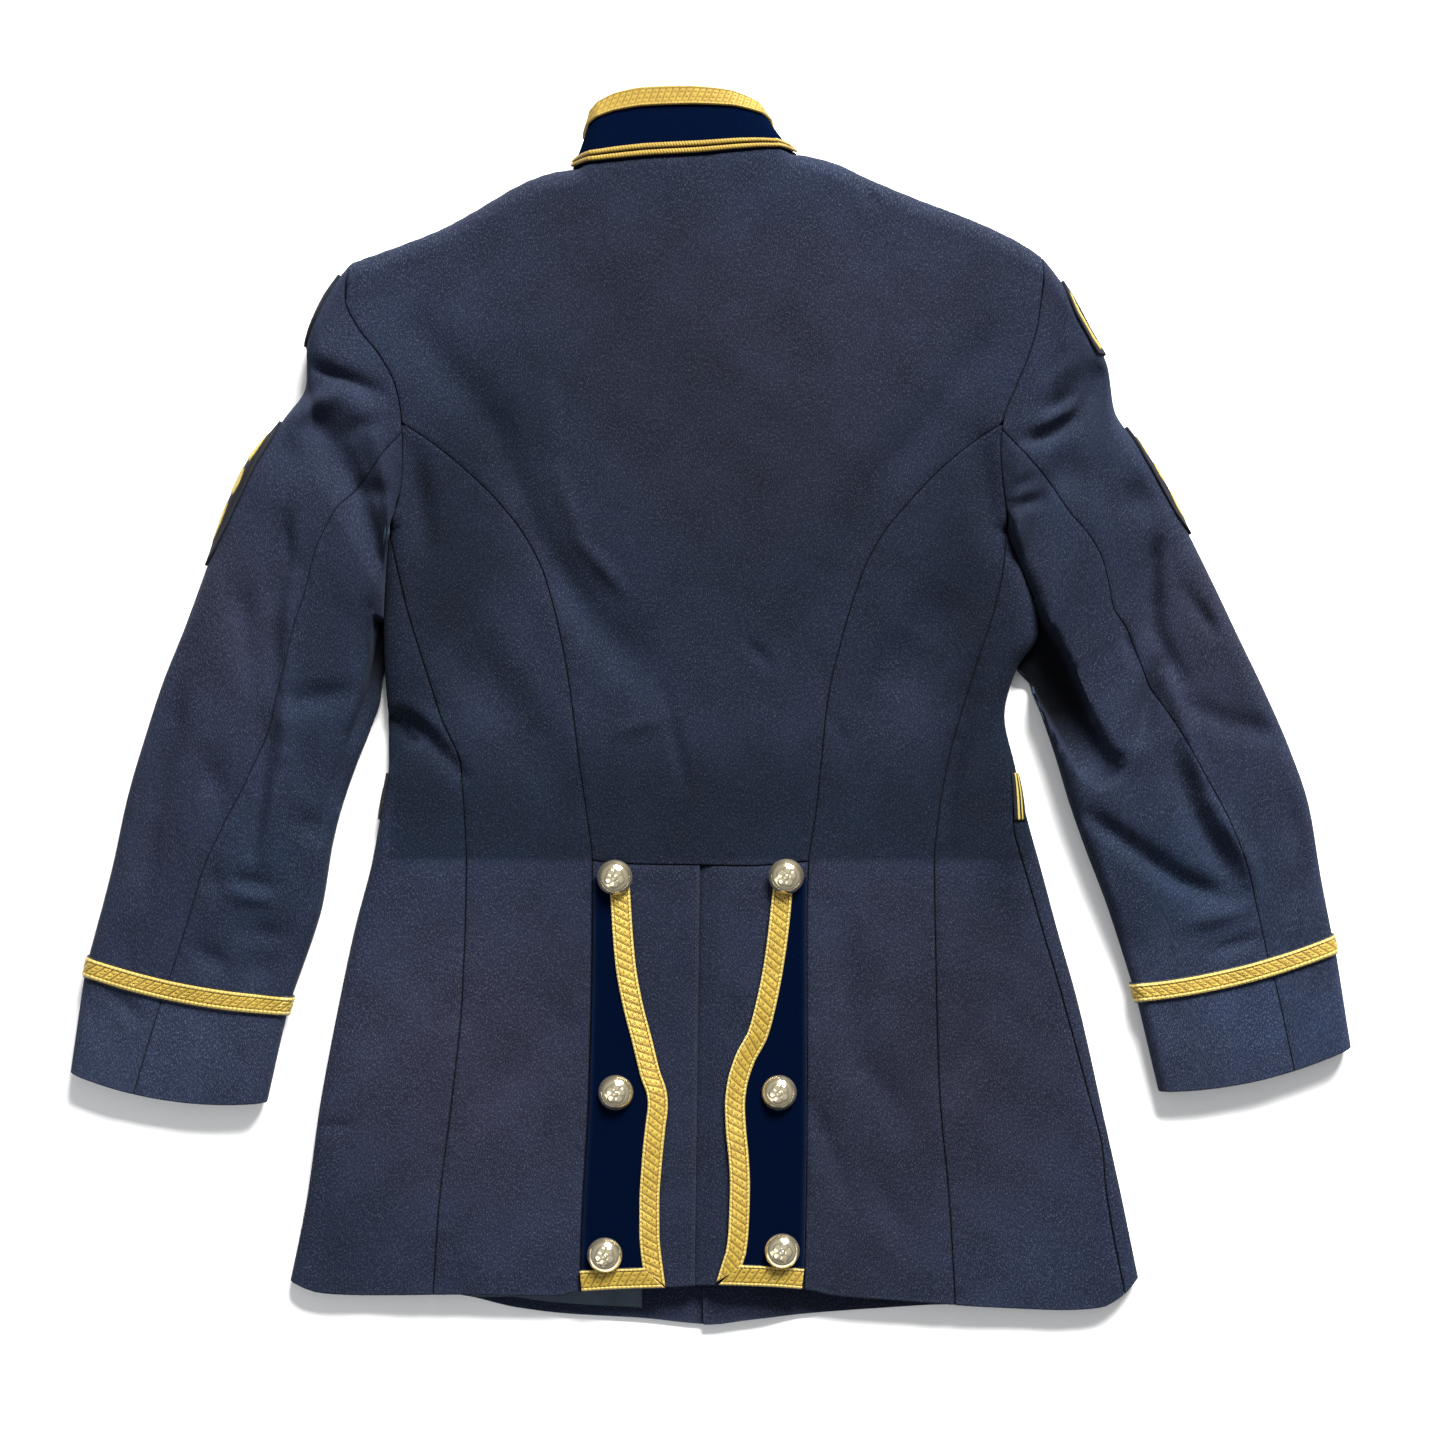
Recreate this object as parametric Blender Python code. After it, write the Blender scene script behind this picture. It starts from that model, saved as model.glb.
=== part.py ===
"""Dress uniform jacket laid flat on its front, so its back shows.

The frame: X runs to the wearer's right, Y towards the collar, Z up from the surface that the
jacket lies on. Tables are in millimetres. A panel is a wall of cloth: a grid of outer points
worked out from the seams that bound it, and the same grid one wall's thickness further in.
"""
import math

import bpy
import numpy as np

MM = 0.001

# Driving sizes, in millimetres
WALL = 2.0               # wool and lining together
COLLAR_WALL = 2.6        # stiffened collar
TRIM_WALL = 1.0          # facing cloth, lace and badges
SEAM_GAP = 0.3           # between panels that are sewn together
LAID_GAP = 0.45          # between a panel and what is sewn on it
COLLAR_GAP = 1.0         # collar seam, more where it turns over the shoulders
WAIST_GAP = 0.5          # waist seam, whose two sides have different columns
UNDERARM_Y = 113.0       # lowest point of both armholes
TORSO_ROUND = 14.0       # plan radius of the torso's side and shoulder folds
VENT_LAP = 27.0          # right tail panel under the left one
FRONT_LAP = 22.0         # left front beyond the centre line, under the right front
FRONT_LIFT = 2.6         # right front lies on the left front
BUTTON_DIAMETER = 22.6
BUTTON_HEIGHT = 7.5
LACE_WIDTH = 12.6

# Centre of the laid jacket in the tables' own frame, taken off so that the part is centred
CENTRE = (-0.15, -0.3)

# Silhouette of the torso's sides below the armholes
EDGE = [
    # y, left, right
    (-372.0, -271.0, 275.5),
    (-315.0, -259.8, 263.7),
    (-251.0, -250.2, 249.6),
    (-187.0, -238.1, 234.9),
    (-142.0, -228.5, 222.1),
    (-99.0, -217.6, 210.6),
    (-69.0, -211.8, 202.2),
    (-37.0, -206.7, 194.9),
    (-5.0, -207.2, 188.2),
    (24.0, -209.0, 195.5),
    (48.0, -209.6, 210.0),
    (62.0, -209.2, 208.6),
    (88.0, -208.0, 199.0),
    (113.0, -206.5, 189.0),
]

# Seam between the side back and the underarm panel, on the back
SIDE_SEAM = [
    # y, left, right
    (-376.0, -178.2, 156.0),
    (-315.0, -174.0, 152.4),
    (-251.0, -166.0, 146.6),
    (-187.0, -159.4, 144.1),
    (-99.0, -156.6, 142.7),
    (-69.0, -157.8, 145.7),
    (-37.0, -160.6, 151.5),
    (-5.0, -173.0, 159.8),
    (24.0, -182.2, 168.4),
    (62.0, -193.8, 180.5),
    (88.0, -200.4, 186.1),
    (113.0, -206.5, 189.0),
]

# Curved seam from the armhole down the back, straight from the waist to the hem
PRINCESS = [
    # y, left, right
    (-376.0, -84.3, 59.4),
    (-315.0, -82.2, 60.8),
    (-251.0, -78.5, 61.5),
    (-142.0, -76.1, 61.2),
    (-99.0, -76.0, 62.3),
    (-69.0, -79.5, 66.8),
    (-37.0, -84.2, 70.2),
    (11.0, -90.0, 75.5),
    (36.0, -94.2, 81.4),
    (62.0, -99.7, 88.5),
    (88.0, -107.4, 97.4),
    (113.0, -121.0, 111.2),
    (132.0, -136.5, 127.5),
    (149.0, -154.0, 143.5),
    (166.0, -174.5, 163.5),
    (181.4, -197.0, 186.0),
]

# Plan of both armholes, the same on the back and on the front
ARMHOLE = [
    # y, left, right
    (113.0, -206.5, 189.0),
    (121.0, -203.6, 188.9),
    (131.0, -199.6, 187.8),
    (148.0, -196.8, 185.6),
    (166.0, -196.5, 184.4),
    (184.0, -197.2, 186.4),
    (204.0, -200.8, 194.2),
    (224.0, -211.0, 202.3),
    (242.0, -225.0, 207.6),
    (260.0, -232.8, 210.2),
    (272.0, -232.4, 211.8),
    (283.8, -230.4, 211.8),
    (290.0, -230.4, 211.8),
]
SHOULDER_Y = {-1: 283.8, 1: 287.7}

# Seam between the underarm panel and the front: inset from the side edge, plus on the back,
# minus underneath
FRONT_SEAM = [
    # y, left, right
    (-376.0, -46.0, 11.0),
    (-346.0, -45.0, 11.0),
    (-310.0, -43.0, 9.5),
    (-277.0, -41.0, 5.5),
    (-245.0, -39.0, 7.0),
    (-187.0, -36.0, 9.6),
    (-133.0, -33.0, 10.2),
    (-85.0, -31.0, 11.5),
    (-50.0, -30.0, 2.0),
    (-20.0, -29.0, -12.0),
    (20.0, -28.0, -25.0),
    (62.0, -27.0, -30.0),
    (113.0, -22.0, -22.0),
    (132.0, -13.0, -13.0),
    (150.1, 0.0, 0.0),
]

# Shoulder line and back neck, left to right
NECK = (-89.0, 55.7)
BACK_TOP = [
    # x, y
    (-240.0, 279.5),
    (-230.4, 283.8),
    (-205.4, 292.8),
    (-172.2, 305.6),
    (-148.5, 318.4),
    (-126.7, 331.2),
    (-113.3, 337.6),
    (-96.6, 342.3),
    (-71.0, 344.5),
    (-43.5, 347.2),
    (-6.4, 349.4),
    (19.8, 352.0),
    (35.8, 353.4),
    (55.7, 352.6),
    (79.4, 347.2),
    (97.9, 338.6),
    (131.2, 324.8),
    (165.1, 312.0),
    (193.3, 299.2),
    (211.8, 287.7),
    (221.0, 281.0),
]
FRONT_NECK_DROP = 50.0   # the front of the neck is cut this much lower than its sides

BACK_HEM = [
    # x, y
    (-290.0, -360.0),
    (-271.0, -367.6),
    (-262.0, -371.6),
    (-250.0, -375.2),
    (-217.0, -376.6),
    (-167.0, -376.0),
    (-100.0, -376.6),
    (-84.0, -373.8),
    (-29.0, -371.2),
    (4.0, -369.8),
    (60.0, -372.5),
    (78.0, -376.3),
    (122.0, -379.8),
    (180.0, -384.2),
    (228.0, -386.0),
    (250.0, -384.4),
    (264.0, -376.6),
    (275.5, -365.0),
    (290.0, -355.0),
]
FRONT_HEM = [
    # x, y
    (-290.0, -360.0),
    (-271.0, -367.6),
    (-262.0, -371.6),
    (-250.0, -375.2),
    (-217.0, -376.6),
    (-167.0, -377.0),
    (-124.0, -385.6),
    (-95.0, -389.2),
    (-45.0, -392.2),
    (0.0, -396.2),
    (21.0, -393.6),
    (68.0, -388.8),
    (106.0, -386.0),
    (152.0, -383.6),
    (180.0, -384.2),
    (228.0, -386.0),
    (250.0, -384.4),
    (264.0, -376.6),
    (275.5, -365.0),
    (290.0, -355.0),
]
WAIST_SEAM = [
    # x, y
    (-80.0, -97.6),
    (-49.0, -100.2),
    (-8.0, -100.8),
    (21.0, -101.4),
    (70.0, -97.8),
]
CENTRE_FRONT = [
    # y, x
    (-396.0, -5.0),
    (300.0, -16.6),
]
VENT_EDGE = [
    # y, x
    (-376.0, -10.6),
    (-251.0, -9.0),
    (-99.0, -7.2),
]

# How high the back lies over the surface
HEIGHT = [
    # y, height
    (-396.0, 12.0),
    (-250.0, 13.0),
    (-99.0, 15.0),
    (0.0, 19.0),
    (113.0, 26.0),
    (200.0, 29.0),
    (283.0, 31.0),
    (400.0, 33.0),
]

# Large soft troughs and ridges of the back
TORSO_FOLDS = [
    # x0, y0, x1, y1, width, depth
    (-160.0, 40.0, -125.0, -15.0, 22.0, -3.0),
    (-105.0, 95.0, -64.0, 55.0, 24.0, -1.8),
    (150.0, 55.0, 120.0, -25.0, 24.0, -2.4),
    (95.0, 90.0, 60.0, 50.0, 24.0, -1.5),
    (-195.0, 0.0, -165.0, -30.0, 14.0, -2.4),
    (178.0, -10.0, 150.0, -45.0, 16.0, -2.0),
]

# Sleeves from the armhole to the cuff: the plan of each ring's two ends, where the elbow seam
# crosses it on the back (share of the width from the inner end), its height over the surface,
# and how far its middle bows towards the cuff
SLEEVES = {
    -1: [
        # outer x, outer y, inner x, inner y, elbow seam, height, bow
        (-230.4, 283.8, -206.5, 113.0, 0.363, 29.0, 0.0),
        (-247.0, 260.8, -207.4, 103.4, 0.375, 30.0, 3.0),
        (-257.9, 232.0, -208.4, 93.1, 0.400, 25.0, 2.0),
        (-259.2, 206.4, -209.2, 81.6, 0.457, 20.0, 0.0),
        (-273.3, 183.4, -209.8, 67.5, 0.488, 29.0, 0.0),
        (-293.8, 158.4, -210.3, 50.9, 0.480, 28.0, 1.0),
        (-306.6, 132.8, -210.4, 31.7, 0.480, 26.0, 2.0),
        (-321.9, 90.6, -211.2, 7.4, 0.486, 25.0, 3.0),
        (-336.0, 52.2, -218.2, -15.7, 0.470, 25.0, 4.0),
        (-350.7, 15.7, -227.2, -38.7, 0.440, 24.0, 4.0),
        (-362.2, -19.5, -235.5, -63.0, 0.465, 23.0, 4.0),
        (-373.1, -56.0, -241.9, -88.6, 0.520, 21.0, 4.0),
        (-383.4, -102.7, -248.3, -126.4, 0.585, 19.0, 4.0),
        (-398.7, -159.7, -268.2, -185.3, 0.592, 16.0, 4.5),
        (-401.3, -171.2, -271.4, -196.2, 0.603, 15.6, 5.0),
        (-410.6, -233.9, -284.4, -253.1, 0.665, 14.0, 8.0),
    ],
    1: [
        # outer x, outer y, inner x, inner y, elbow seam, height, bow
        (211.8, 287.7, 189.0, 113.0, 0.363, 29.0, 0.0),
        (227.2, 266.6, 191.4, 105.9, 0.368, 30.0, 3.0),
        (240.6, 242.9, 196.0, 98.2, 0.380, 27.0, 3.0),
        (254.1, 217.3, 200.8, 88.6, 0.400, 21.0, 1.0),
        (257.9, 190.4, 207.4, 73.9, 0.439, 24.0, 0.0),
        (273.3, 167.4, 211.9, 57.3, 0.477, 28.0, 1.0),
        (287.4, 145.6, 211.4, 42.6, 0.500, 27.0, 2.0),
        (304.0, 113.6, 203.6, 27.8, 0.520, 26.0, 3.0),
        (320.6, 80.3, 204.2, 12.5, 0.520, 25.0, 3.0),
        (338.6, 42.6, 211.2, -6.7, 0.520, 24.0, 3.0),
        (355.2, 8.0, 219.5, -31.0, 0.560, 24.0, 3.0),
        (370.6, -27.2, 228.5, -60.5, 0.604, 22.0, 3.0),
        (382.7, -62.4, 239.4, -91.2, 0.645, 20.0, 3.0),
        (391.0, -110.4, 252.8, -125.8, 0.675, 18.0, 4.0),
        (398.1, -145.6, 269.4, -177.0, 0.664, 16.0, 5.0),
        (400.4, -156.4, 272.6, -187.8, 0.670, 15.6, 5.0),
        (410.3, -217.9, 286.7, -246.1, 0.689, 14.0, 7.0),
    ],
}
LACE_STATIONS = {-1: (13, 14), 1: (14, 15)}
SLEEVE_CLEARANCE = 0.8   # between the sleeve's inner fold and the torso's side
FRONT_SEAM_SHARE = 0.217

# Large folds of the sleeves
SLEEVE_FOLDS = {
    -1: [
        # x0, y0, x1, y1, width, depth
        (-250.0, 214.0, -208.0, 201.0, 9.0, -6.0),
        (-270.0, 186.0, -232.0, 200.0, 8.0, 3.0),
        (-216.0, 60.0, -217.0, -5.0, 8.0, -6.0),
        (-232.0, -20.0, -246.0, -80.0, 9.0, -3.5),
        (-338.0, 10.0, -368.0, -95.0, 14.0, -3.0),
        (-270.0, 118.0, -268.0, 78.0, 12.0, -2.0),
    ],
    1: [
        # x0, y0, x1, y1, width, depth
        (246.0, 214.0, 208.0, 190.0, 9.0, -6.0),
        (240.0, 186.0, 200.0, 171.0, 8.0, -3.0),
        (212.0, 40.0, 226.0, -20.0, 9.0, -7.0),
        (234.0, -30.0, 262.0, -45.0, 9.0, -3.0),
        (281.0, 95.0, 281.0, 48.0, 12.0, -2.5),
        (332.0, -95.0, 340.0, -125.0, 16.0, -3.0),
    ],
}

# Collar: rim of the standing band, as a flattened ring
RIM_CENTRE = (-21.6, 370.0)
RIM_HALF = (56.0, 25.6)
RIM_POWER = 0.75
COLLAR_HEIGHT = 31.0
COLLAR_RIM_HEIGHT = 27.0

# Tail flaps: the inner edge of each one's lace
FLAP_EDGE = {
    -1: [
        # y, x
        (-371.5, -29.2),
        (-360.0, -30.6),
        (-350.0, -32.0),
        (-337.0, -33.0),
        (-318.0, -33.0),
        (-290.0, -31.4),
        (-268.0, -29.2),
        (-254.0, -27.6),
        (-247.0, -28.2),
        (-235.0, -32.2),
        (-215.0, -37.2),
        (-189.0, -43.8),
        (-163.0, -48.4),
        (-119.0, -51.6),
        (-104.0, -52.4),
    ],
    1: [
        # y, x
        (-371.5, 3.4),
        (-360.0, 6.4),
        (-350.0, 9.2),
        (-335.0, 11.2),
        (-304.0, 12.2),
        (-290.0, 11.6),
        (-268.0, 9.6),
        (-254.0, 9.0),
        (-242.0, 10.2),
        (-225.0, 15.2),
        (-209.0, 23.6),
        (-189.0, 29.0),
        (-163.0, 34.0),
        (-119.0, 39.2),
        (-104.0, 40.4),
    ],
}
FLAP_LEVELS = [-371.5, -350.0, -330.0, -305.0, -280.0, -262.0, -254.0, -247.0, -235.0, -215.0,
               -189.0, -163.0, -119.0, -108.5]
LACE_TOP_Y = -112.5      # the lace ends under the top button
TAIL_BUTTONS = {
    -1: [(-61.4, -108.5), (-60.8, -246.1), (-67.8, -349.8)],
    1: [(48.0, -107.8), (43.5, -246.1), (45.4, -347.2)],
}
# Height of each button's seat over the tail panel: on flap and lace, on the flap, on both
BUTTON_SEAT = {1: 3.35, 2: 1.9, 3: 3.35}

BELT_LOOPS = {-1: (-72.0, -42.0), 1: (-72.0, -42.0)}
BELT_LOOP_REACH = {-1: (-6.0, 2.0), 1: (-4.0, 6.5)}

# Badges at the outer edges of the sleeves: station along the sleeve, then how far over the
# back the badge reaches (sleeve ring units, 3 to 4 is the outer fold's upper quarter)
SHOULDER_PATCH = {
    -1: [(0.55, 3.75), (0.9, 3.35), (1.3, 3.3), (1.8, 3.45), (2.3, 3.5), (2.55, 3.8)],
    1: [(0.75, 3.75), (1.0, 3.35), (1.4, 3.2), (1.9, 3.25), (2.4, 3.3), (2.7, 3.75)],
}
CHEVRON_PATCH = {
    -1: [(4.05, 3.75), (4.4, 3.4), (5.0, 3.2), (5.6, 3.12), (6.2, 3.2), (6.7, 3.45), (7.0, 3.8)],
    1: [(4.5, 3.75), (4.9, 3.4), (5.5, 3.2), (6.1, 3.12), (6.6, 3.2), (6.9, 3.45), (7.1, 3.8)],
}
BADGE_RISE = 0.5         # embroidered badges stand a little proud of the sleeve
FOLD_COLUMNS = [3.0, 3.333, 3.667, 4.0, 4.333, 4.5]

# Inside of the left front that shows below the back hem
LINING_SPAN_X = (-154.0, -44.0)
LINING_DEPTH = 46.0
HEM_FACING = 6.0

SIDE_NAME = {-1: "left", 1: "right"}

# Colour, roughness and metallic value of each material
FINISHES = {
    "wool": ((0.040, 0.048, 0.078), 0.90, 0.0),
    "navy_cloth": ((0.006, 0.010, 0.036), 0.88, 0.0),
    "gold_lace": ((0.62, 0.42, 0.09), 0.50, 0.15),
    "gilt": ((0.80, 0.70, 0.50), 0.22, 1.0),
    "badge_cloth": ((0.010, 0.011, 0.020), 0.90, 0.0),
    "lining": ((0.006, 0.020, 0.028), 0.40, 0.0),
}


def curve(table, column=1):
    """A smooth function through a table's rows that never overshoots them."""
    points = np.array([(row[0], row[column]) for row in table])
    x = points[:, 0]
    y = points[:, 1]
    step = np.diff(x)
    secant = np.diff(y) / step
    slope = np.zeros(len(x))
    slope[0] = secant[0]
    slope[-1] = secant[-1]
    for i in range(1, len(x) - 1):
        if secant[i - 1] * secant[i] > 0:
            weight_a = 2 * step[i] + step[i - 1]
            weight_b = step[i] + 2 * step[i - 1]
            total = weight_a + weight_b
            slope[i] = total / (weight_a / secant[i - 1] + weight_b / secant[i])

    def value(at):
        at = min(max(at, x[0]), x[-1])
        i = min(int(np.searchsorted(x, at, side="right")) - 1, len(x) - 2)
        i = max(i, 0)
        u = (at - x[i]) / step[i]
        return ((1 + 2 * u) * (1 - u) ** 2 * y[i] + u * (1 - u) ** 2 * step[i] * slope[i]
                + u * u * (3 - 2 * u) * y[i + 1] + u * u * (u - 1) * step[i] * slope[i + 1])

    return value


def by_side(table):
    """Left and right curves of a table whose columns are y, left, right."""
    return {-1: curve(table, 1), 1: curve(table, 2)}


edge_curve = by_side(EDGE)
side_seam_x = by_side(SIDE_SEAM)
princess_x = by_side(PRINCESS)
armhole_x = by_side(ARMHOLE)
front_seam_inset = by_side(FRONT_SEAM)
back_top = curve(BACK_TOP)
back_hem = curve(BACK_HEM)
front_hem = curve(FRONT_HEM)
waist_seam = curve(WAIST_SEAM)
centre_front = curve(CENTRE_FRONT)
vent_edge = curve(VENT_EDGE)
base_height = curve(HEIGHT)
flap_edge = {side: curve(FLAP_EDGE[side]) for side in (-1, 1)}


def lerp(a, b, u):
    return a + (b - a) * u


def smoothstep(u):
    u = min(max(u, 0.0), 1.0)
    return u * u * (3 - 2 * u)


def fold_depth(folds, x, y):
    """Sum of the soft troughs and ridges at a point of the plan."""
    total = 0.0
    for x0, y0, x1, y1, width, depth in folds:
        dx = x1 - x0
        dy = y1 - y0
        along = ((x - x0) * dx + (y - y0) * dy) / (dx * dx + dy * dy)
        nearest = min(max(along, 0.0), 1.0)
        away = math.hypot(x - x0 - nearest * dx, y - y0 - nearest * dy)
        fade = 0.45 + 0.55 * math.sin(math.pi * nearest)
        total += depth * fade * math.exp(-(away / width) ** 2)
    return total


def torso_height(x, y):
    """Height of the back's outer face over the surface, with its large folds."""
    half_width = 215.0
    crown = 1.0 - 0.16 * min(abs(x / half_width), 1.0) ** 2.5
    return base_height(y) * crown


def torso_edge(side, y):
    """The side edge; above the underarm it runs on outwards, so that the armhole's end rounds."""
    if y <= UNDERARM_Y:
        return edge_curve[side](y)
    return armhole_x[side](y) + side * min(y - UNDERARM_Y, TORSO_ROUND)


def roll(reach, radius):
    """Distance in from a fold, for a distance along the cloth."""
    if abs(reach) >= radius:
        return abs(reach)
    return radius * (1 - math.cos(reach / radius * math.pi / 2))


def unroll(inset, radius):
    """Distance along the cloth, for a distance in from a fold."""
    if inset >= radius:
        return inset
    return radius * math.acos(1 - max(inset, 0.0) / radius) * 2 / math.pi


def front_neck(x):
    """The front neckline, a dip between the two neck points."""
    middle = (NECK[0] + NECK[1]) / 2
    half = (NECK[1] - NECK[0]) / 2
    share = (x - middle) / half
    if abs(share) >= 1:
        return back_top(x)
    sides = lerp(back_top(NECK[0]), back_top(NECK[1]), (x - NECK[0]) / (2 * half))
    return sides - FRONT_NECK_DROP * math.sqrt(1 - share * share)


def shoulder_share(x):
    """One on the shoulders, where the back and front fold onto each other, none at the neck."""
    inside = min(x - NECK[0], NECK[1] - x)
    return 1 - smoothstep(inside / TORSO_ROUND)


def front_lift(x, y):
    """The right front rises over the edge of the left one."""
    away = x - centre_front(y)
    return FRONT_LIFT * (1 - smoothstep((away - FRONT_LAP - 12.0) / 30.0))


def torso_point(side, reach, run, on_front=False, lifted=False):
    """A point of the torso.

    reach is the distance along the cloth from the side edge, plus on the back and minus on the
    front; run is the distance along the cloth up the torso, equal to y below the shoulders.
    """
    y = run
    theta = max(-1.0, min(1.0, reach / TORSO_ROUND)) * math.pi / 2
    for _ in range(5):
        x = torso_edge(side, y) - side * roll(reach, TORSO_ROUND)
        top = front_neck(x) if on_front else back_top(x)
        past = (run - (top - TORSO_ROUND)) / TORSO_ROUND
        y = run
        phi = 0.0
        if past > 0:
            full = max(shoulder_share(x) * math.pi / 2, 0.02)
            phi = full * past
            y = top - TORSO_ROUND + TORSO_ROUND * math.sin(phi) / math.sin(full)
    level = 0.5 + 0.5 * math.sin(theta) * math.cos(phi)
    z = torso_height(x, y) * level + fold_depth(TORSO_FOLDS, x, y) * max(0.0, 2 * level - 1)
    if lifted:
        z += front_lift(x, y) * max(0.0, 1 - 2 * level)
    return np.array((x, y, z))


def reach_of(side, x, y, under=False):
    """Distance along the cloth from the side edge to a seam at x."""
    inset = (torso_edge(side, y) - x) * side
    distance = unroll(inset, TORSO_ROUND)
    return -distance if under else distance


def armhole_reach(side, y, under=False):
    return reach_of(side, armhole_x[side](y), y, under)


def side_seam_reach(side, y):
    if y >= UNDERARM_Y:
        return armhole_reach(side, y)
    return reach_of(side, side_seam_x[side](y), y)


def front_seam_reach(side, y):
    inset = front_seam_inset[side](y)
    border = edge_curve[side](y) if y <= UNDERARM_Y else armhole_x[side](y)
    under = inset < 0 or y > UNDERARM_Y
    return reach_of(side, border - side * abs(inset), y, under)


def normals_of(surface, step=0.2):
    """Unit normal of a surface function at (u, v), by its slopes."""
    def normal(u, v):
        du = surface(u + step, v) - surface(u - step, v)
        dv = surface(u, v + step) - surface(u, v - step)
        n = np.cross(du, dv)
        return n / np.linalg.norm(n)
    return normal


def material(name):
    found = bpy.data.materials.get(name)
    if found:
        return found
    colour, roughness, metallic = FINISHES[name]
    made = bpy.data.materials.new(name)
    made.use_nodes = True
    shader = made.node_tree.nodes["Principled BSDF"]
    shader.inputs["Base Color"].default_value = (*colour, 1.0)
    shader.inputs["Roughness"].default_value = roughness
    shader.inputs["Metallic"].default_value = metallic
    made.diffuse_color = (*colour, 1.0)
    return made


def add_object(name, points, faces, finish):
    """An object from points in millimetres, faces turned outwards."""
    points = np.array(points)
    volume = 0.0
    for face in faces:
        a = points[face[0]]
        for i in range(1, len(face) - 1):
            volume += np.dot(a, np.cross(points[face[i]], points[face[i + 1]]))
    if volume < 0:
        faces = [tuple(reversed(face)) for face in faces]
    placed = (points - np.array((*CENTRE, 0.0))) * MM
    mesh = bpy.data.meshes.new(name)
    mesh.from_pydata(placed.tolist(), [], faces)
    mesh.update()
    obj = bpy.data.objects.new(name, mesh)
    bpy.context.scene.collection.objects.link(obj)
    own = material(finish).copy()
    own.name = name + "_" + finish
    mesh.materials.append(own)
    mesh.shade_smooth()
    mesh.set_sharp_from_angle(angle=math.radians(40))
    return obj


def wall(name, outer, inner, finish, floor=None):
    """A closed wall between two grids of points with the same rows and columns."""
    rows = len(outer)
    columns = len(outer[0])
    points = [p for row in outer for p in row] + [p for row in inner for p in row]
    if floor is not None:
        points = [np.array((p[0], p[1], max(p[2], floor))) for p in points]
    under = rows * columns

    def at(r, c):
        return r * columns + c

    faces = []
    for r in range(rows - 1):
        for c in range(columns - 1):
            low, high = at(r, c), at(r + 1, c + 1)
            for triangle in ((low, at(r, c + 1), high), (low, high, at(r + 1, c))):
                faces.append(triangle)
                faces.append(tuple(under + i for i in reversed(triangle)))
    # the rim's diagonals all run the same way, so neighbours' rims stay parallel
    for c in range(columns - 1):
        a, b = at(0, c), at(0, c + 1)
        faces += [(b, a, under + b), (a, under + a, under + b)]
        a, b = at(rows - 1, c), at(rows - 1, c + 1)
        faces += [(a, b, under + b), (a, under + b, under + a)]
    for r in range(rows - 1):
        a, b = at(r, 0), at(r + 1, 0)
        faces += [(a, b, under + b), (a, under + b, under + a)]
        a, b = at(r, columns - 1), at(r + 1, columns - 1)
        faces += [(b, a, under + b), (a, under + a, under + b)]
    return add_object(name, points, faces, finish)


# Row levels. Below the underarm they are y values, above it shares of the armhole's height
LOW_ROWS = [-330.0, -285.0, -240.0, -195.0, -150.0, -99.0, -72.0, -57.0, -42.0, -10.0, 22.0,
            52.0, 80.0, 98.0]
WAIST_ROW = -99.0
PRINCESS_SHARE = (181.4 - UNDERARM_Y) / (SHOULDER_Y[-1] - UNDERARM_Y)
MIDDLE_SHARES = [FRONT_SEAM_SHARE, 0.55, 0.70, 0.845]
ARC_STEPS = (1 / 3, 2 / 3, 1.0)
FRONT_TURNS = (0.0, 0.25, 0.5, 0.75)
MIN_TURN = 8.0           # a front's first columns reach at least this far from its side seam


def share_y(side, share):
    return lerp(UNDERARM_Y, SHOULDER_Y[side], share)


def arc_rows():
    """The three rows in which an armhole's low end rounds over the side edge."""
    return [UNDERARM_Y + TORSO_ROUND * (1 - math.cos(u * math.pi / 2)) for u in ARC_STEPS]


def solve_row(side, reach_at, boundary, start, on_front=False):
    """The y at which a column meets a boundary given as y over x."""
    y = start
    for _ in range(12):
        x = torso_edge(side, y) - side * roll(reach_at(y), TORSO_ROUND)
        y = boundary(x)
    return y


def torso_panel(name, side, low_reach, high_reach, rows, shares, turns=(), on_front=False,
                lifted=False):
    """A torso panel between two seams, given as reaches over y.

    rows are y values, or a function that gives the y of one column at a boundary. turns are
    shares of the way from the first seam round the side edge, where the other columns start.
    """
    def surface(reach, run):
        return torso_point(side, reach, run, on_front, lifted)

    normal = normals_of(surface)
    inset = SEAM_GAP / 2
    outer = []
    inner = []
    for row in rows:
        outer_row = []
        inner_row = []
        for turn, share in [(u, None) for u in turns] + [(None, u) for u in shares]:
            def reach_at(y, turn=turn, share=share):
                low = low_reach(y)
                high = high_reach(y)
                gap = math.copysign(inset, high - low)
                turned = min(low - MIN_TURN, -TORSO_ROUND) if turns else low + gap
                if turn is not None:
                    return lerp(low + gap, turned, turn)
                return lerp(turned, high - gap, share)
            run = row(reach_at) if callable(row) else row
            reach = reach_at(min(run, SHOULDER_Y[side]))
            if on_front and run > SHOULDER_Y[side] - TORSO_ROUND:
                reach = reach_at(run)
            point = surface(reach, run)
            n = normal(reach, run)
            outward = 1 if n[2] * (1 if reach > 0 else -1) > 0 else -1
            if abs(reach) < 1.0:
                outward = 1 if n[0] * side > 0 else -1
            outer_row.append(point)
            inner_row.append(point - n * outward * WALL)
        outer.append(outer_row)
        inner.append(inner_row)
    return wall(name, outer, inner, "wool", floor=0.0)


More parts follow.
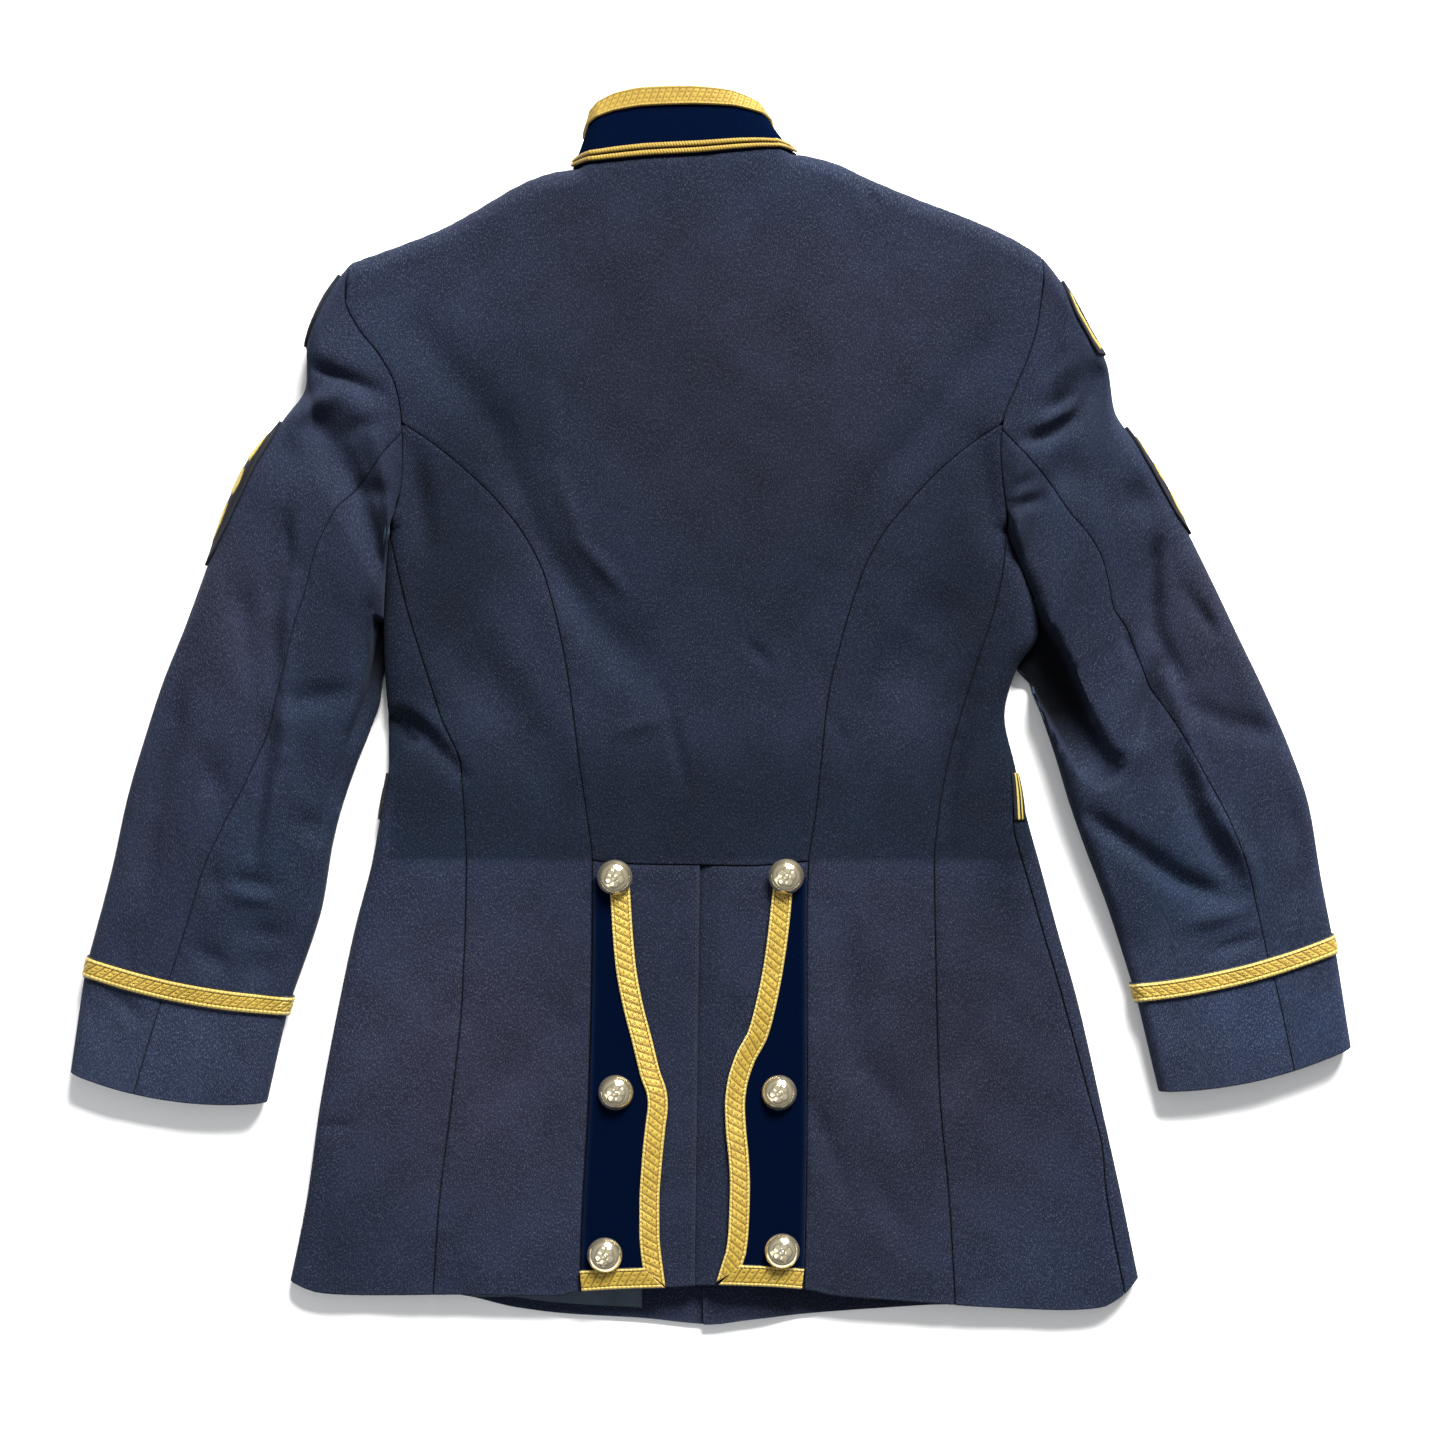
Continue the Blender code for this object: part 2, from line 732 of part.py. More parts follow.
def make_back_sides():
    shares = [0.0, 0.33, 0.66, 1.0]
    for side in (-1, 1):
        tip = PRINCESS[-1][0] - 1.9
        rows = [lambda reach_at, side=side: solve_row(side, reach_at, back_hem, -375.0)]
        rows += LOW_ROWS + [UNDERARM_Y] + arc_rows()
        rows += [share_y(side, s) for s in (0.15, FRONT_SEAM_SHARE, 0.31)] + [tip]

        def outer_seam(y, side=side):
            return side_seam_reach(side, y)

        def princess(y, side=side):
            return reach_of(side, princess_x[side](y), y)

        torso_panel("back_side_" + SIDE_NAME[side], side, outer_seam, princess, rows, shares)


def make_side_bodies():
    for side in (-1, 1):
        tip = share_y(side, FRONT_SEAM_SHARE) - 1.9

        def front_seam(y, side=side):
            return front_seam_reach(side, y)

        def back_seam(y, side=side):
            if y > UNDERARM_Y:
                return armhole_reach(side, y, under=True)
            return side_seam_reach(side, y)

        def hem(reach_at, side=side):
            return solve_row(side, reach_at, back_hem, -372.0)

        rows = [hem] + LOW_ROWS + [UNDERARM_Y] + arc_rows() + [share_y(side, 0.15), tip]
        shares = [0.0, 0.14, 0.26, 0.37, 0.46, 0.55, 0.65, 0.8, 1.0]
        if side == 1:
            shares = [0.0, 0.12, 0.24, 0.36, 0.48, 0.6, 0.72, 0.86, 1.0]
        torso_panel("side_body_" + SIDE_NAME[side], side, front_seam, back_seam, rows, shares)


def make_fronts():
    for side in (-1, 1):
        def outer_seam(y, side=side):
            if y > share_y(side, FRONT_SEAM_SHARE):
                return armhole_reach(side, min(y, SHOULDER_Y[side]), under=True)
            return front_seam_reach(side, y)

        def closing_edge(y, side=side):
            x = centre_front(y) + (FRONT_LAP if side == -1 else 0.0)
            return reach_of(side, x, y, under=True)

        def hem(reach_at, side=side):
            def boundary(x):
                return front_hem(x)
            return solve_row(side, reach_at, boundary, -380.0)

        def arc_row(part):
            def run(reach_at, side=side):
                y = 300.0
                for _ in range(12):
                    x = torso_edge(side, y) - side * roll(reach_at(y), TORSO_ROUND)
                    y = front_neck(x) - SEAM_GAP / 2
                return y - TORSO_ROUND + TORSO_ROUND * part
            return run

        rows = [hem] + LOW_ROWS + [UNDERARM_Y] + arc_rows()
        rows += [share_y(side, s) for s in [0.15, FRONT_SEAM_SHARE, 0.40, 0.55, 0.70, 0.845]]
        rows += [arc_row(u) for u in (0.0,) + ARC_STEPS]
        start = armhole_x[side](SHOULDER_Y[side])
        end = centre_front(300.0) + (FRONT_LAP if side == -1 else 0.0)
        if side == -1:
            marks = [start, -190.0, -145.0, -112.0, NECK[0], -81.0, -62.0, -40.0, -16.6, end]
        else:
            marks = [start, 172.0, 130.0, 92.0, NECK[1], 47.0, 30.0, 12.0, end]
        shares = [(mark - start) / (end - start) for mark in marks]
        torso_panel("front_" + SIDE_NAME[side], side, outer_seam, closing_edge, rows, shares,
                    turns=FRONT_TURNS, on_front=True, lifted=side == 1)


def plan_point(x, run):
    """A point of the back between the princess seams, by its x."""
    top = back_top(x)
    past = (run - (top - TORSO_ROUND)) / TORSO_ROUND
    y = run
    phi = 0.0
    if past > 0:
        full = max(shoulder_share(x) * math.pi / 2, 0.02)
        phi = full * past
        y = top - TORSO_ROUND + TORSO_ROUND * math.sin(phi) / math.sin(full)
    level = 0.5 + 0.5 * math.cos(phi)
    z = torso_height(x, y) * level + fold_depth(TORSO_FOLDS, x, y) * max(0.0, 2 * level - 1)
    return np.array((x, y, z))


def lift_wall(name, grid, finish, thick, drop=0.0):
    """A wall whose outer face is a grid of plan points, lowered by drop."""
    normal = normals_of(plan_point)
    outer = []
    inner = []
    for row in grid:
        outer_row = []
        inner_row = []
        for x, run in row:
            n = normal(x, run)
            n = n if n[2] > 0 or (abs(n[2]) < 1e-6 and n[1] > 0) else -n
            lower = drop(x, run) if callable(drop) else drop
            point = plan_point(x, run) - n * lower
            outer_row.append(point)
            inner_row.append(point - n * thick)
        outer.append(outer_row)
        inner.append(inner_row)
    return wall(name, outer, inner, finish)


def back_border(side, y):
    """Side of the centre back: the princess seam, then the armhole."""
    if y < PRINCESS[-1][0]:
        return princess_x[side](y) - side * SEAM_GAP / 2
    return armhole_x[side](min(y, SHOULDER_Y[side])) - side * SEAM_GAP / 2


def make_back_centre():
    marks = [-230.4, -190.0, -145.0, -112.0, NECK[0], -85.0, -77.0, -62.0, -40.0, -10.0, 20.0,
             44.0, 52.0, NECK[1], 92.0, 130.0, 172.0, 211.8]
    shares = [(m - marks[0]) / (marks[-1] - marks[0]) for m in marks]
    left_rows = [y for y in LOW_ROWS if y > WAIST_ROW] + [UNDERARM_Y]
    rows = [(y, y) for y in left_rows + arc_rows()[1:]]
    for share in [0.15, FRONT_SEAM_SHARE, 0.31, PRINCESS_SHARE, 0.55, 0.70, 0.845]:
        rows.append((share_y(-1, share), share_y(1, share)))
    grid = []
    seam_row = []
    for u in shares:
        y = WAIST_ROW
        for _ in range(6):
            x = lerp(back_border(-1, y), back_border(1, y), u)
            y = waist_seam(x) + WAIST_GAP / 2
        seam_row.append((x, y))
    grid.append(seam_row)
    for left_y, right_y in rows:
        grid.append([(lerp(back_border(-1, left_y), back_border(1, right_y), u),
                      lerp(left_y, right_y, u)) for u in shares])
    top_x = [lerp(back_border(-1, SHOULDER_Y[-1]), back_border(1, SHOULDER_Y[1]), u)
             for u in shares]
    last = grid[-1]
    arc_start = [(x, back_top(x) - SEAM_GAP / 2 - TORSO_ROUND) for x in top_x]
    for end, side in ((0, -1), (-1, 1)):
        y = arc_start[end][1]
        arc_start[end] = (armhole_x[side](y) - side * SEAM_GAP / 2, y)
    grid.append([(lerp(a[0], b[0], 0.45), lerp(a[1], b[1], 0.45))
                 for a, b in zip(last, arc_start)])
    grid.append(arc_start)
    for part in ARC_STEPS:
        row = []
        for x, u in zip(top_x, shares):
            top = back_top(x) - SEAM_GAP / 2
            row.append((x, top - TORSO_ROUND + TORSO_ROUND * part))
        grid.append(row)
    lift_wall("back_centre", grid, "wool", WALL)


def make_skirts():
    levels = [y for y in LOW_ROWS if y < WAIST_ROW]
    for side in (-1, 1):
        outer_seam = princess_x[side]

        def inner_edge(y, side=side):
            return vent_edge(y) - (0.0 if side == -1 else VENT_LAP)

        def drop(x, y, side=side):
            if side == -1:
                return 0.0
            past = x - vent_edge(y)
            return (WALL + LAID_GAP) * (1 - smoothstep((past - 1.0) / 14.0))

        shares = [0.0, 0.36, 0.7, 1.0] if side == -1 else [0.0, 0.28, 0.5, 0.62, 0.72, 1.0]
        grid = []
        for u in shares:
            column = []
            for kind in ["hem"] + levels + ["waist"]:
                y = {"hem": -371.0, "waist": WAIST_ROW}.get(kind, kind)
                for _ in range(6):
                    outer_x = outer_seam(y) - side * SEAM_GAP / 2
                    x = lerp(outer_x, inner_edge(y), u)
                    if kind == "hem":
                        y = back_hem(x)
                    if kind == "waist":
                        y = waist_seam(x) - WAIST_GAP / 2
                column.append((x, y))
            grid.append(column)
        lift_wall("skirt_centre_" + SIDE_NAME[side], grid, "wool", WALL, drop)


def make_flaps():
    for side in (-1, 1):
        grid = []
        for y in FLAP_LEVELS:
            seam = princess_x[side](y) - side * (SEAM_GAP / 2 + 0.6)
            edge = flap_edge[side](y)
            low = y if y > -371.0 else None
            row = []
            for u in (0.0, 0.33, 0.66, 1.0):
                x = lerp(seam, edge, u)
                row.append((x, low if low is not None else back_hem(x) + 0.5))
            grid.append(row)
        lift_wall("tail_flap_" + SIDE_NAME[side], grid, "navy_cloth", TRIM_WALL,
                  -(TRIM_WALL + LAID_GAP))


def ribbon(path, width):
    """Left and right edges of a flat band along a path in the plan, with mitred corners."""
    path = np.array(path)
    rows = []
    for i, p in enumerate(path):
        before = p - path[i - 1] if i > 0 else path[1] - p
        after = path[i + 1] - p if i < len(path) - 1 else before
        a = before / np.linalg.norm(before)
        b = after / np.linalg.norm(after)
        na = np.array((-a[1], a[0]))
        nb = np.array((-b[1], b[0]))
        middle = na + nb
        middle = middle / np.dot(middle, middle) * 2
        offset = middle * width / 2
        rows.append([tuple(p + offset), tuple(p), tuple(p - offset)])
    return rows


def make_tail_lace():
    half = LACE_WIDTH / 2
    for side in (-1, 1):
        path = []
        for y in reversed(FLAP_LEVELS[1:-1]):
            path.append((flap_edge[side](y) + side * half, y))
        path.insert(0, (flap_edge[side](LACE_TOP_Y) + side * half, LACE_TOP_Y))
        corner_x = flap_edge[side](-365.0) + side * half
        corner_y = back_hem(corner_x) + 0.8 + half
        path.append((corner_x, corner_y))
        seam = princess_x[side](-368.0) - side * (SEAM_GAP / 2 + 0.6)
        for u in (0.5, 1.0):
            x = lerp(corner_x, seam, u)
            path.append((x, back_hem(x) + 0.8 + half))
        lift_wall("tail_lace_" + SIDE_NAME[side], ribbon(path, LACE_WIDTH), "gold_lace",
                  TRIM_WALL, -2 * (TRIM_WALL + LAID_GAP) - 0.1)


def highest_under(x, y, radius):
    """The tail panel's highest level under a round piece."""
    turns = [math.tau * i / 12 for i in range(12)]
    rim = [plan_point(x + radius * math.cos(t), y + radius * math.sin(t))[2] for t in turns]
    return max(rim + [plan_point(x, y)[2]])


def make_buttons():
    """Plain domed buttons with a rim."""
    rings = [
        # share of the radius, share of the height
        (0.84, 0.0),
        (1.0, 0.10),
        (1.0, 0.30),
        (0.90, 0.42),
        (0.72, 0.72),
        (0.40, 0.93),
    ]
    around = 16
    radius = BUTTON_DIAMETER / 2
    for side in (-1, 1):
        for number, (x, y) in enumerate(TAIL_BUTTONS[side], start=1):
            base = highest_under(x, y, radius) + BUTTON_SEAT[number]
            points = []
            for share, rise in rings:
                for i in range(around):
                    angle = 2 * math.pi * i / around
                    points.append((x + radius * share * math.cos(angle),
                                   y + radius * share * math.sin(angle),
                                   base + BUTTON_HEIGHT * rise))
            points.append((x, y, base))
            points.append((x, y, base + BUTTON_HEIGHT))
            faces = []
            for r in range(len(rings) - 1):
                for i in range(around):
                    j = (i + 1) % around
                    faces.append((r * around + i, r * around + j,
                                  (r + 1) * around + j, (r + 1) * around + i))
            bottom = len(points) - 2
            last = (len(rings) - 1) * around
            for i in range(around):
                j = (i + 1) % around
                faces.append((bottom, j, i))
                faces.append((bottom + 1, last + i, last + j))
            add_object("tail_button_%s_%d" % (SIDE_NAME[side], number), points, faces, "gilt")


def station_curves(side):
    table = [(i, *row) for i, row in enumerate(SLEEVES[side])]
    return [curve(table, column) for column in range(1, 8)]


sleeve_curves = {side: station_curves(side) for side in (-1, 1)}


def sleeve_ring(side, around, station):
    """Share across the sleeve's width and level (0 under, 1 on top) of a ring position.

    around runs from the inner fold (0) over the back, past the elbow seam (2) to the outer
    fold (4), and under the sleeve past the front seam (6) back to the inner fold (8).
    """
    outer_x, outer_y, inner_x, inner_y, elbow, height, _ = [c(station) for c in
                                                            sleeve_curves[side]]
    width = math.hypot(outer_x - inner_x, outer_y - inner_y)
    drop = abs(outer_y - inner_y)
    width = lerp(drop, width, min(station, 1.0))
    radius = lerp(TORSO_ROUND, height / 2, min(station / 3, 1.0))
    edge = radius / width
    around = around % 8.0
    quarter = math.pi / 2
    if around < 1:
        return edge * (1 - math.cos(around * quarter)), 0.5 + 0.5 * math.sin(around * quarter)
    if around < 2:
        return lerp(edge, elbow, around - 1), 1.0
    if around < 3:
        return lerp(elbow, 1 - edge, around - 2), 1.0
    if around < 5:
        theta = (4 - around) * quarter
        return 1 - edge * (1 - math.cos(theta)), 0.5 + 0.5 * math.sin(theta)
    if around < 6:
        return lerp(1 - edge, FRONT_SEAM_SHARE, around - 5), 0.0
    if around < 7:
        return lerp(FRONT_SEAM_SHARE, edge, around - 6), 0.0
    theta = (8 - around) * quarter
    return edge * (1 - math.cos(theta)), 0.5 - 0.5 * math.sin(theta)


def sleeve_point(side, around, station):
    outer_x, outer_y, inner_x, inner_y, _, height, bow = [c(station) for c in
                                                          sleeve_curves[side]]
    share, level = sleeve_ring(side, around, station)
    # keep the inner fold beside the torso
    if -60.0 < inner_y < UNDERARM_Y + 1.0:
        limit = edge_curve[side](inner_y) + side * SLEEVE_CLEARANCE * min(station * 2, 1.0)
        inner_x = side * max(side * inner_x, side * limit)
    x = lerp(inner_x, outer_x, share)
    y = lerp(inner_y, outer_y, share)
    # the armhole's own curve fades out along the sleeve
    fade = 1 - smoothstep(station / 4.5)
    level_y = lerp(UNDERARM_Y, SHOULDER_Y[side], share)
    straight = lerp(armhole_x[side](UNDERARM_Y), armhole_x[side](SHOULDER_Y[side]), share)
    x += (armhole_x[side](level_y) - straight) * fade
    # the ring's middle bows towards the cuff
    across = np.array((outer_x - inner_x, outer_y - inner_y))
    across = across / np.linalg.norm(across)
    towards_cuff = np.array((across[1], -across[0])) * (-side)
    if towards_cuff[1] > 0:
        towards_cuff = -towards_cuff
    sag = bow * 4 * share * (1 - share)
    x += towards_cuff[0] * sag
    y += towards_cuff[1] * sag
    joined = smoothstep(station / 1.5)
    top = lerp(torso_height(x, y), height, joined)
    z = top * level
    z += fold_depth(SLEEVE_FOLDS[side], x, y) * max(0.0, 2 * level - 1) * joined
    x += side * SEAM_GAP / 2 * max(0.0, 1 - station)
    return np.array((x, y, z))


def sleeve_normal(side, around, station):
    step_a = 0.02
    step_s = 0.02
    du = sleeve_point(side, around + step_a, station) - sleeve_point(side, around - step_a,
                                                                    station)
    low = max(station - step_s, 0.0)
    dv = sleeve_point(side, around, station + step_s) - sleeve_point(side, around, low)
    n = np.cross(du, dv)
    if station < 0.01:
        n[0] = 0.0
    n = n / np.linalg.norm(n)
    return n * (1 if side < 0 else -1)


TOP_SLEEVE_COLUMNS = [2.0, 2.337, 2.607, 2.868, 3.0, 3.333, 3.667, 4.0, 4.333, 4.667, 5.0,
                      5.104, 5.311, 5.525, 5.739, 6.0]
UNDER_SLEEVE_COLUMNS = [6.0, 6.496, 7.0, 7.333, 7.667, 8.0, 8.333, 8.667, 9.0, 9.242, 9.48,
                        10.0]


def sleeve_patch(name, side, columns, stations, finish, thick, lift=0.0, inset=0.0):
    """A wall on the sleeve's surface; columns may be a list or a function of the station."""
    outer = []
    inner = []
    for station in stations:
        line = columns(station) if callable(columns) else columns
        outer_row = []
        inner_row = []
        for number, around in enumerate(line):
            nudge = 0.0
            if inset and number == 0:
                nudge = inset
            if inset and number == len(line) - 1:
                nudge = -inset
            around_here = around + nudge * around_per_mm(side, around, station)
            point = ruled_sleeve_point(side, around_here, station)
            n = sleeve_normal(side, around_here, station)
            outer_row.append(point + n * lift)
            inner_row.append(point + n * (lift - thick))
        outer.append(outer_row)
        inner.append(inner_row)
    return wall(name, outer, inner, finish, floor=0.0)


def ruled_sleeve_point(side, around, station):
    """A point of the sleeve's wall, which runs straight from station to station."""
    low = math.floor(station)
    part = station - low
    if part < 1e-6:
        return sleeve_point(side, around, low)
    return lerp(sleeve_point(side, around, low), sleeve_point(side, around, low + 1), part)


def around_per_mm(side, around, station):
    step = 0.01
    a = sleeve_point(side, around, station)
    b = sleeve_point(side, around + step, station)
    return step / max(np.linalg.norm(b - a), 1e-6)


def make_sleeves():
    for side in (-1, 1):
        stations = [float(i) for i in range(len(SLEEVES[side]))]
        sleeve_patch("top_sleeve_" + SIDE_NAME[side], side, TOP_SLEEVE_COLUMNS, stations,
                     "wool", WALL, inset=SEAM_GAP / 2)
        sleeve_patch("under_sleeve_" + SIDE_NAME[side], side, UNDER_SLEEVE_COLUMNS, stations,
                     "wool", WALL, inset=SEAM_GAP / 2)


def make_cuff_lace():
    columns = [7.667, 8.0, 8.333, 8.667, 9.0, 9.48, 10.0, 10.337, 10.607, 10.868, 11.0, 11.333,
               11.667, 12.0, 12.333]
    for side in (-1, 1):
        first, last = LACE_STATIONS[side]
        sleeve_patch("cuff_lace_" + SIDE_NAME[side], side, columns, [float(first), float(last)],
                     "gold_lace", TRIM_WALL, lift=TRIM_WALL + LAID_GAP)


def make_badges():
    for kind, table in (("shoulder_patch", SHOULDER_PATCH), ("chevron_patch", CHEVRON_PATCH)):
        for side in (-1, 1):
            rows = table[side]
            reach = curve(rows)

            def columns(station):
                start = reach(station)
                return [max(column, start + 0.06 * i)
                        for i, column in enumerate(FOLD_COLUMNS)]

            first, last = rows[0][0], rows[-1][0]
            thirds = range(math.ceil(first * 3), math.floor(last * 3) + 1)
            stations = sorted({first, last} | {third / 3 for third in thirds})
            sleeve_patch(kind + "_" + SIDE_NAME[side], side, columns, stations, "badge_cloth",
                         TRIM_WALL, lift=TRIM_WALL + LAID_GAP + BADGE_RISE)


def make_belt_loops():
    for side in (-1, 1):
        low, high = BELT_LOOPS[side]
        start, end = BELT_LOOP_REACH[side]

        def surface(reach, run, side=side):
            return torso_point(side, reach, run)

        outer = []
        inner = []
        for y in (low, high):
            outer_row = []
            inner_row = []
            for u in (0.0, 0.34, 0.67, 1.0):
                reach = lerp(start, end, u)
                point = surface(reach, y)
                n = normals_of(surface)(reach, y)
                n = n * (1 if n[0] * side > 0 else -1)
                lift = TRIM_WALL + LAID_GAP
                outer_row.append(point + n * lift)
                inner_row.append(point + n * (lift - TRIM_WALL))
            outer.append(outer_row)
            inner.append(inner_row)
        wall("belt_loop_" + SIDE_NAME[side], outer, inner, "badge_cloth")


def collar_base(phi):
    """Base of the collar: the back neck on top, the front neckline on the surface."""
    middle = (NECK[0] + NECK[1]) / 2
    half = (NECK[1] - NECK[0]) / 2
    x = middle - half * math.sin(phi)
    back = math.cos(phi) < 0
    if back:
        y = back_top(x)
        inside = min(x - NECK[0], NECK[1] - x)
        turn = shoulder_share(x) * math.pi / 2
        level = 0.5 + 0.5 * math.cos(turn)
        if inside <= 0:
            level = 0.5
        z = torso_height(x, y) * level
    else:
        y = front_neck(x)
        inside = min(x - NECK[0], NECK[1] - x)
        turn = shoulder_share(x) * math.pi / 2
        level = 0.5 - 0.5 * math.cos(turn)
        z = torso_height(x, y) * level
    return np.array((x, y, z))


def signed_power(value, power):
    return math.copysign(abs(value) ** power, value)


def collar_rim(phi):
    x = RIM_CENTRE[0] - RIM_HALF[0] * signed_power(math.sin(phi), RIM_POWER)
    y = RIM_CENTRE[1] - RIM_HALF[1] * signed_power(math.cos(phi), RIM_POWER)
    level = 0.5 - 0.5 * signed_power(math.cos(phi), 0.5)
    return np.array((x, y, COLLAR_RIM_HEIGHT * level))


def collar_point(phi, rise):
    """A point of the collar's outer face; rise runs from the neck seam (0) to the rim (1)."""
    base = collar_base(phi)
    rim = collar_rim(phi)
    point = base + (rim - base) * rise
    direction = (rim - base) / np.linalg.norm(rim - base)
    return point + direction * COLLAR_GAP * (1 - rise)


def collar_normal(phi, rise):
    step = 0.01
    du = collar_point(phi + step, rise) - collar_point(phi - step, rise)
    dv = collar_point(phi, rise + step) - collar_point(phi, rise - step)
    n = np.cross(du, dv)
    if rise < 0.01:
        n[1] = 0.0
    n = n / np.linalg.norm(n)
    outwards = collar_point(phi, rise) - np.array((-20.0, 350.0, 14.0))
    outwards[1] = 0.0
    return n if np.dot(n, outwards) > 0 else -n


def collar_angles():
    """Angles of the collar's columns, the same as the columns of the panels it joins."""
    middle = (NECK[0] + NECK[1]) / 2
    half = (NECK[1] - NECK[0]) / 2
    gap = 0.4 / half
    left_front = [-40.0, -62.0, -81.0]
    back = [-85.0, -77.0, -62.0, -40.0, -10.0, 20.0, 44.0, 52.0]
    right_front = [47.0, 30.0, 12.0]
    angles = [gap]
    angles += [math.asin((middle - x) / half) for x in left_front]
    angles.append(math.pi / 2)
    angles += [math.pi - math.asin((middle - x) / half) for x in back]
    angles.append(math.pi * 1.5)
    angles += [2 * math.pi + math.asin((middle - x) / half) for x in right_front]
    angles.append(2 * math.pi - gap)
    return angles


def collar_wall(name, angles, rises, finish, thick, lift=0.0):
    outer = []
    inner = []
    for rise in rises:
        outer_row = []
        inner_row = []
        for phi in angles:
            at = rise(phi) if callable(rise) else rise
            point = collar_point(phi, at)
            n = collar_normal(phi, at)
            outer_row.append(point + n * lift)
            inner_row.append(point + n * (lift - thick))
        outer.append(outer_row)
        inner.append(inner_row)
    return wall(name, outer, inner, finish, floor=0.0)


def make_collar():
    angles = collar_angles()
    collar_wall("collar", angles, [0.0, 0.2, 0.5, 0.8, 1.0], "navy_cloth", COLLAR_WALL)
    back = [a for a in angles if 1.35 < a < 2 * math.pi - 1.35]
    collar_wall("collar_lace", back, [0.72, 0.8, 0.985], "gold_lace", TRIM_WALL,
                TRIM_WALL + LAID_GAP + 0.15)
    for name, low, high in (("collar_piping_lower", 0.03, 0.105),
                            ("collar_piping_upper", 0.125, 0.2)):
        collar_wall(name, back, [low, high], "gold_lace", 1.4, 1.65 + LAID_GAP)


def make_lining():
    """Lining inside the left front, seen between the back hem and the front's longer hem."""
    low_x, high_x = LINING_SPAN_X
    outer = []
    inner = []
    base = WALL + LAID_GAP
    for v in (0.0, 0.5, 1.0):
        row = []
        for u in (0.0, 0.25, 0.5, 0.75, 1.0):
            x = lerp(low_x, high_x, u)
            y = front_hem(x) + HEM_FACING * smoothstep((x - low_x) / 30.0) + 0.6
            row.append((x, y + LINING_DEPTH * v))
        outer.append([np.array((x, y, base + 1.0)) for x, y in row])
        inner.append([np.array((x, y, base)) for x, y in row])
    wall("lining_hem_left", outer, inner, "lining")


def main():
    for obj in list(bpy.data.objects):
        bpy.data.objects.remove(obj, do_unlink=True)
    make_back_centre()
    make_back_sides()
    make_side_bodies()
    make_fronts()
    make_skirts()
    make_sleeves()
    make_collar()
    make_flaps()
    make_tail_lace()
    make_buttons()
    make_cuff_lace()
    make_badges()
    make_belt_loops()
    make_lining()


main()
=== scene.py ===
"""Looks of the dress uniform jacket: cloth shells with their creases, woven lace, sewing,
buttons, badges, floor, light and camera.

Every panel is a thin shell worked out from the same seams as its solid, on a finer grid.
Tables are in millimetres in the jacket's own plan: X to the wearer's right, Y towards the
collar, Z up from the surface that it lies on.
"""
import math

import bpy
import mathutils
import numpy as np
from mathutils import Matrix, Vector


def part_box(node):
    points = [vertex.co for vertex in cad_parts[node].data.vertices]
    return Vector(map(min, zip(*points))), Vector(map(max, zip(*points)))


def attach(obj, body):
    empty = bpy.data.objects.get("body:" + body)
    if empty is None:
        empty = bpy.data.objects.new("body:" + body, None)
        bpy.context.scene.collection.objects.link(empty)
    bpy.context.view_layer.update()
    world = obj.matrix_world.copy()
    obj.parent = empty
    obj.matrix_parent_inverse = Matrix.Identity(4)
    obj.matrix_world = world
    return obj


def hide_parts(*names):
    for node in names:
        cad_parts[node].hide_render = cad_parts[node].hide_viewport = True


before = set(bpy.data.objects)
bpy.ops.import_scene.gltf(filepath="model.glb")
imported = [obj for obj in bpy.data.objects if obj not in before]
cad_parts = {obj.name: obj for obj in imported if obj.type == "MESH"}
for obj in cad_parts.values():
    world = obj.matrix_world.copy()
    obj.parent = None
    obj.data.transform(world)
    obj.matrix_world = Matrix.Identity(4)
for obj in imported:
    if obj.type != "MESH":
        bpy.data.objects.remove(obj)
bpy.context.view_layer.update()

MM = 0.001
SIDES = (-1, 1)          # left and right
SIDE_NAME = {-1: "left", 1: "right"}
UP = np.array((0.0, 0.0, 1.0))
QUARTER = math.pi / 2

# Sizes of the cloth
WALL = 2.0               # wool and lining together
COLLAR_WALL = 2.6        # stiffened collar
SEAM_GAP = 0.3           # between panels that are sewn together
LAID_GAP = 0.45          # between one layer and the next
COLLAR_GAP = 1.0         # of the collar's seam
UNDERARM_Y = 113.0       # lowest point of both armholes
TORSO_ROUND = 14.0       # plan radius of the torso's side and shoulder folds
VENT_LAP = 27.0          # right tail panel under the left one
FRONT_LAP = 22.0         # left front beyond the centre line, under the right front
FRONT_LIFT = 2.6         # the right front lies on the left one
LACE_WIDTH = 12.6
CENTRE = (-0.15, -0.3)   # of the laid jacket, in the tables' own frame

# Silhouette of the torso's sides below the armholes
EDGE = [
    # y, left, right
    (-372, -271, 275.5),
    (-315, -259.8, 263.7),
    (-251, -250.2, 249.6),
    (-187, -238.1, 234.9),
    (-142, -228.5, 222.1),
    (-99, -217.6, 210.6),
    (-69, -211.8, 202.2),
    (-37, -206.7, 194.9),
    (-5, -207.2, 188.2),
    (24, -209, 195.5),
    (48, -209.6, 210),
    (62, -209.2, 208.6),
    (88, -208, 199),
    (113, -206.5, 189),
]

# Seam between the side back and the underarm panel, on the back
SIDE_SEAM = [
    # y, left, right
    (-376, -178.2, 156),
    (-315, -174, 152.4),
    (-251, -166, 146.6),
    (-187, -159.4, 144.1),
    (-99, -156.6, 142.7),
    (-69, -157.8, 145.7),
    (-37, -160.6, 151.5),
    (-5, -173, 159.8),
    (24, -182.2, 168.4),
    (62, -193.8, 180.5),
    (88, -200.4, 186.1),
    (113, -206.5, 189),
]

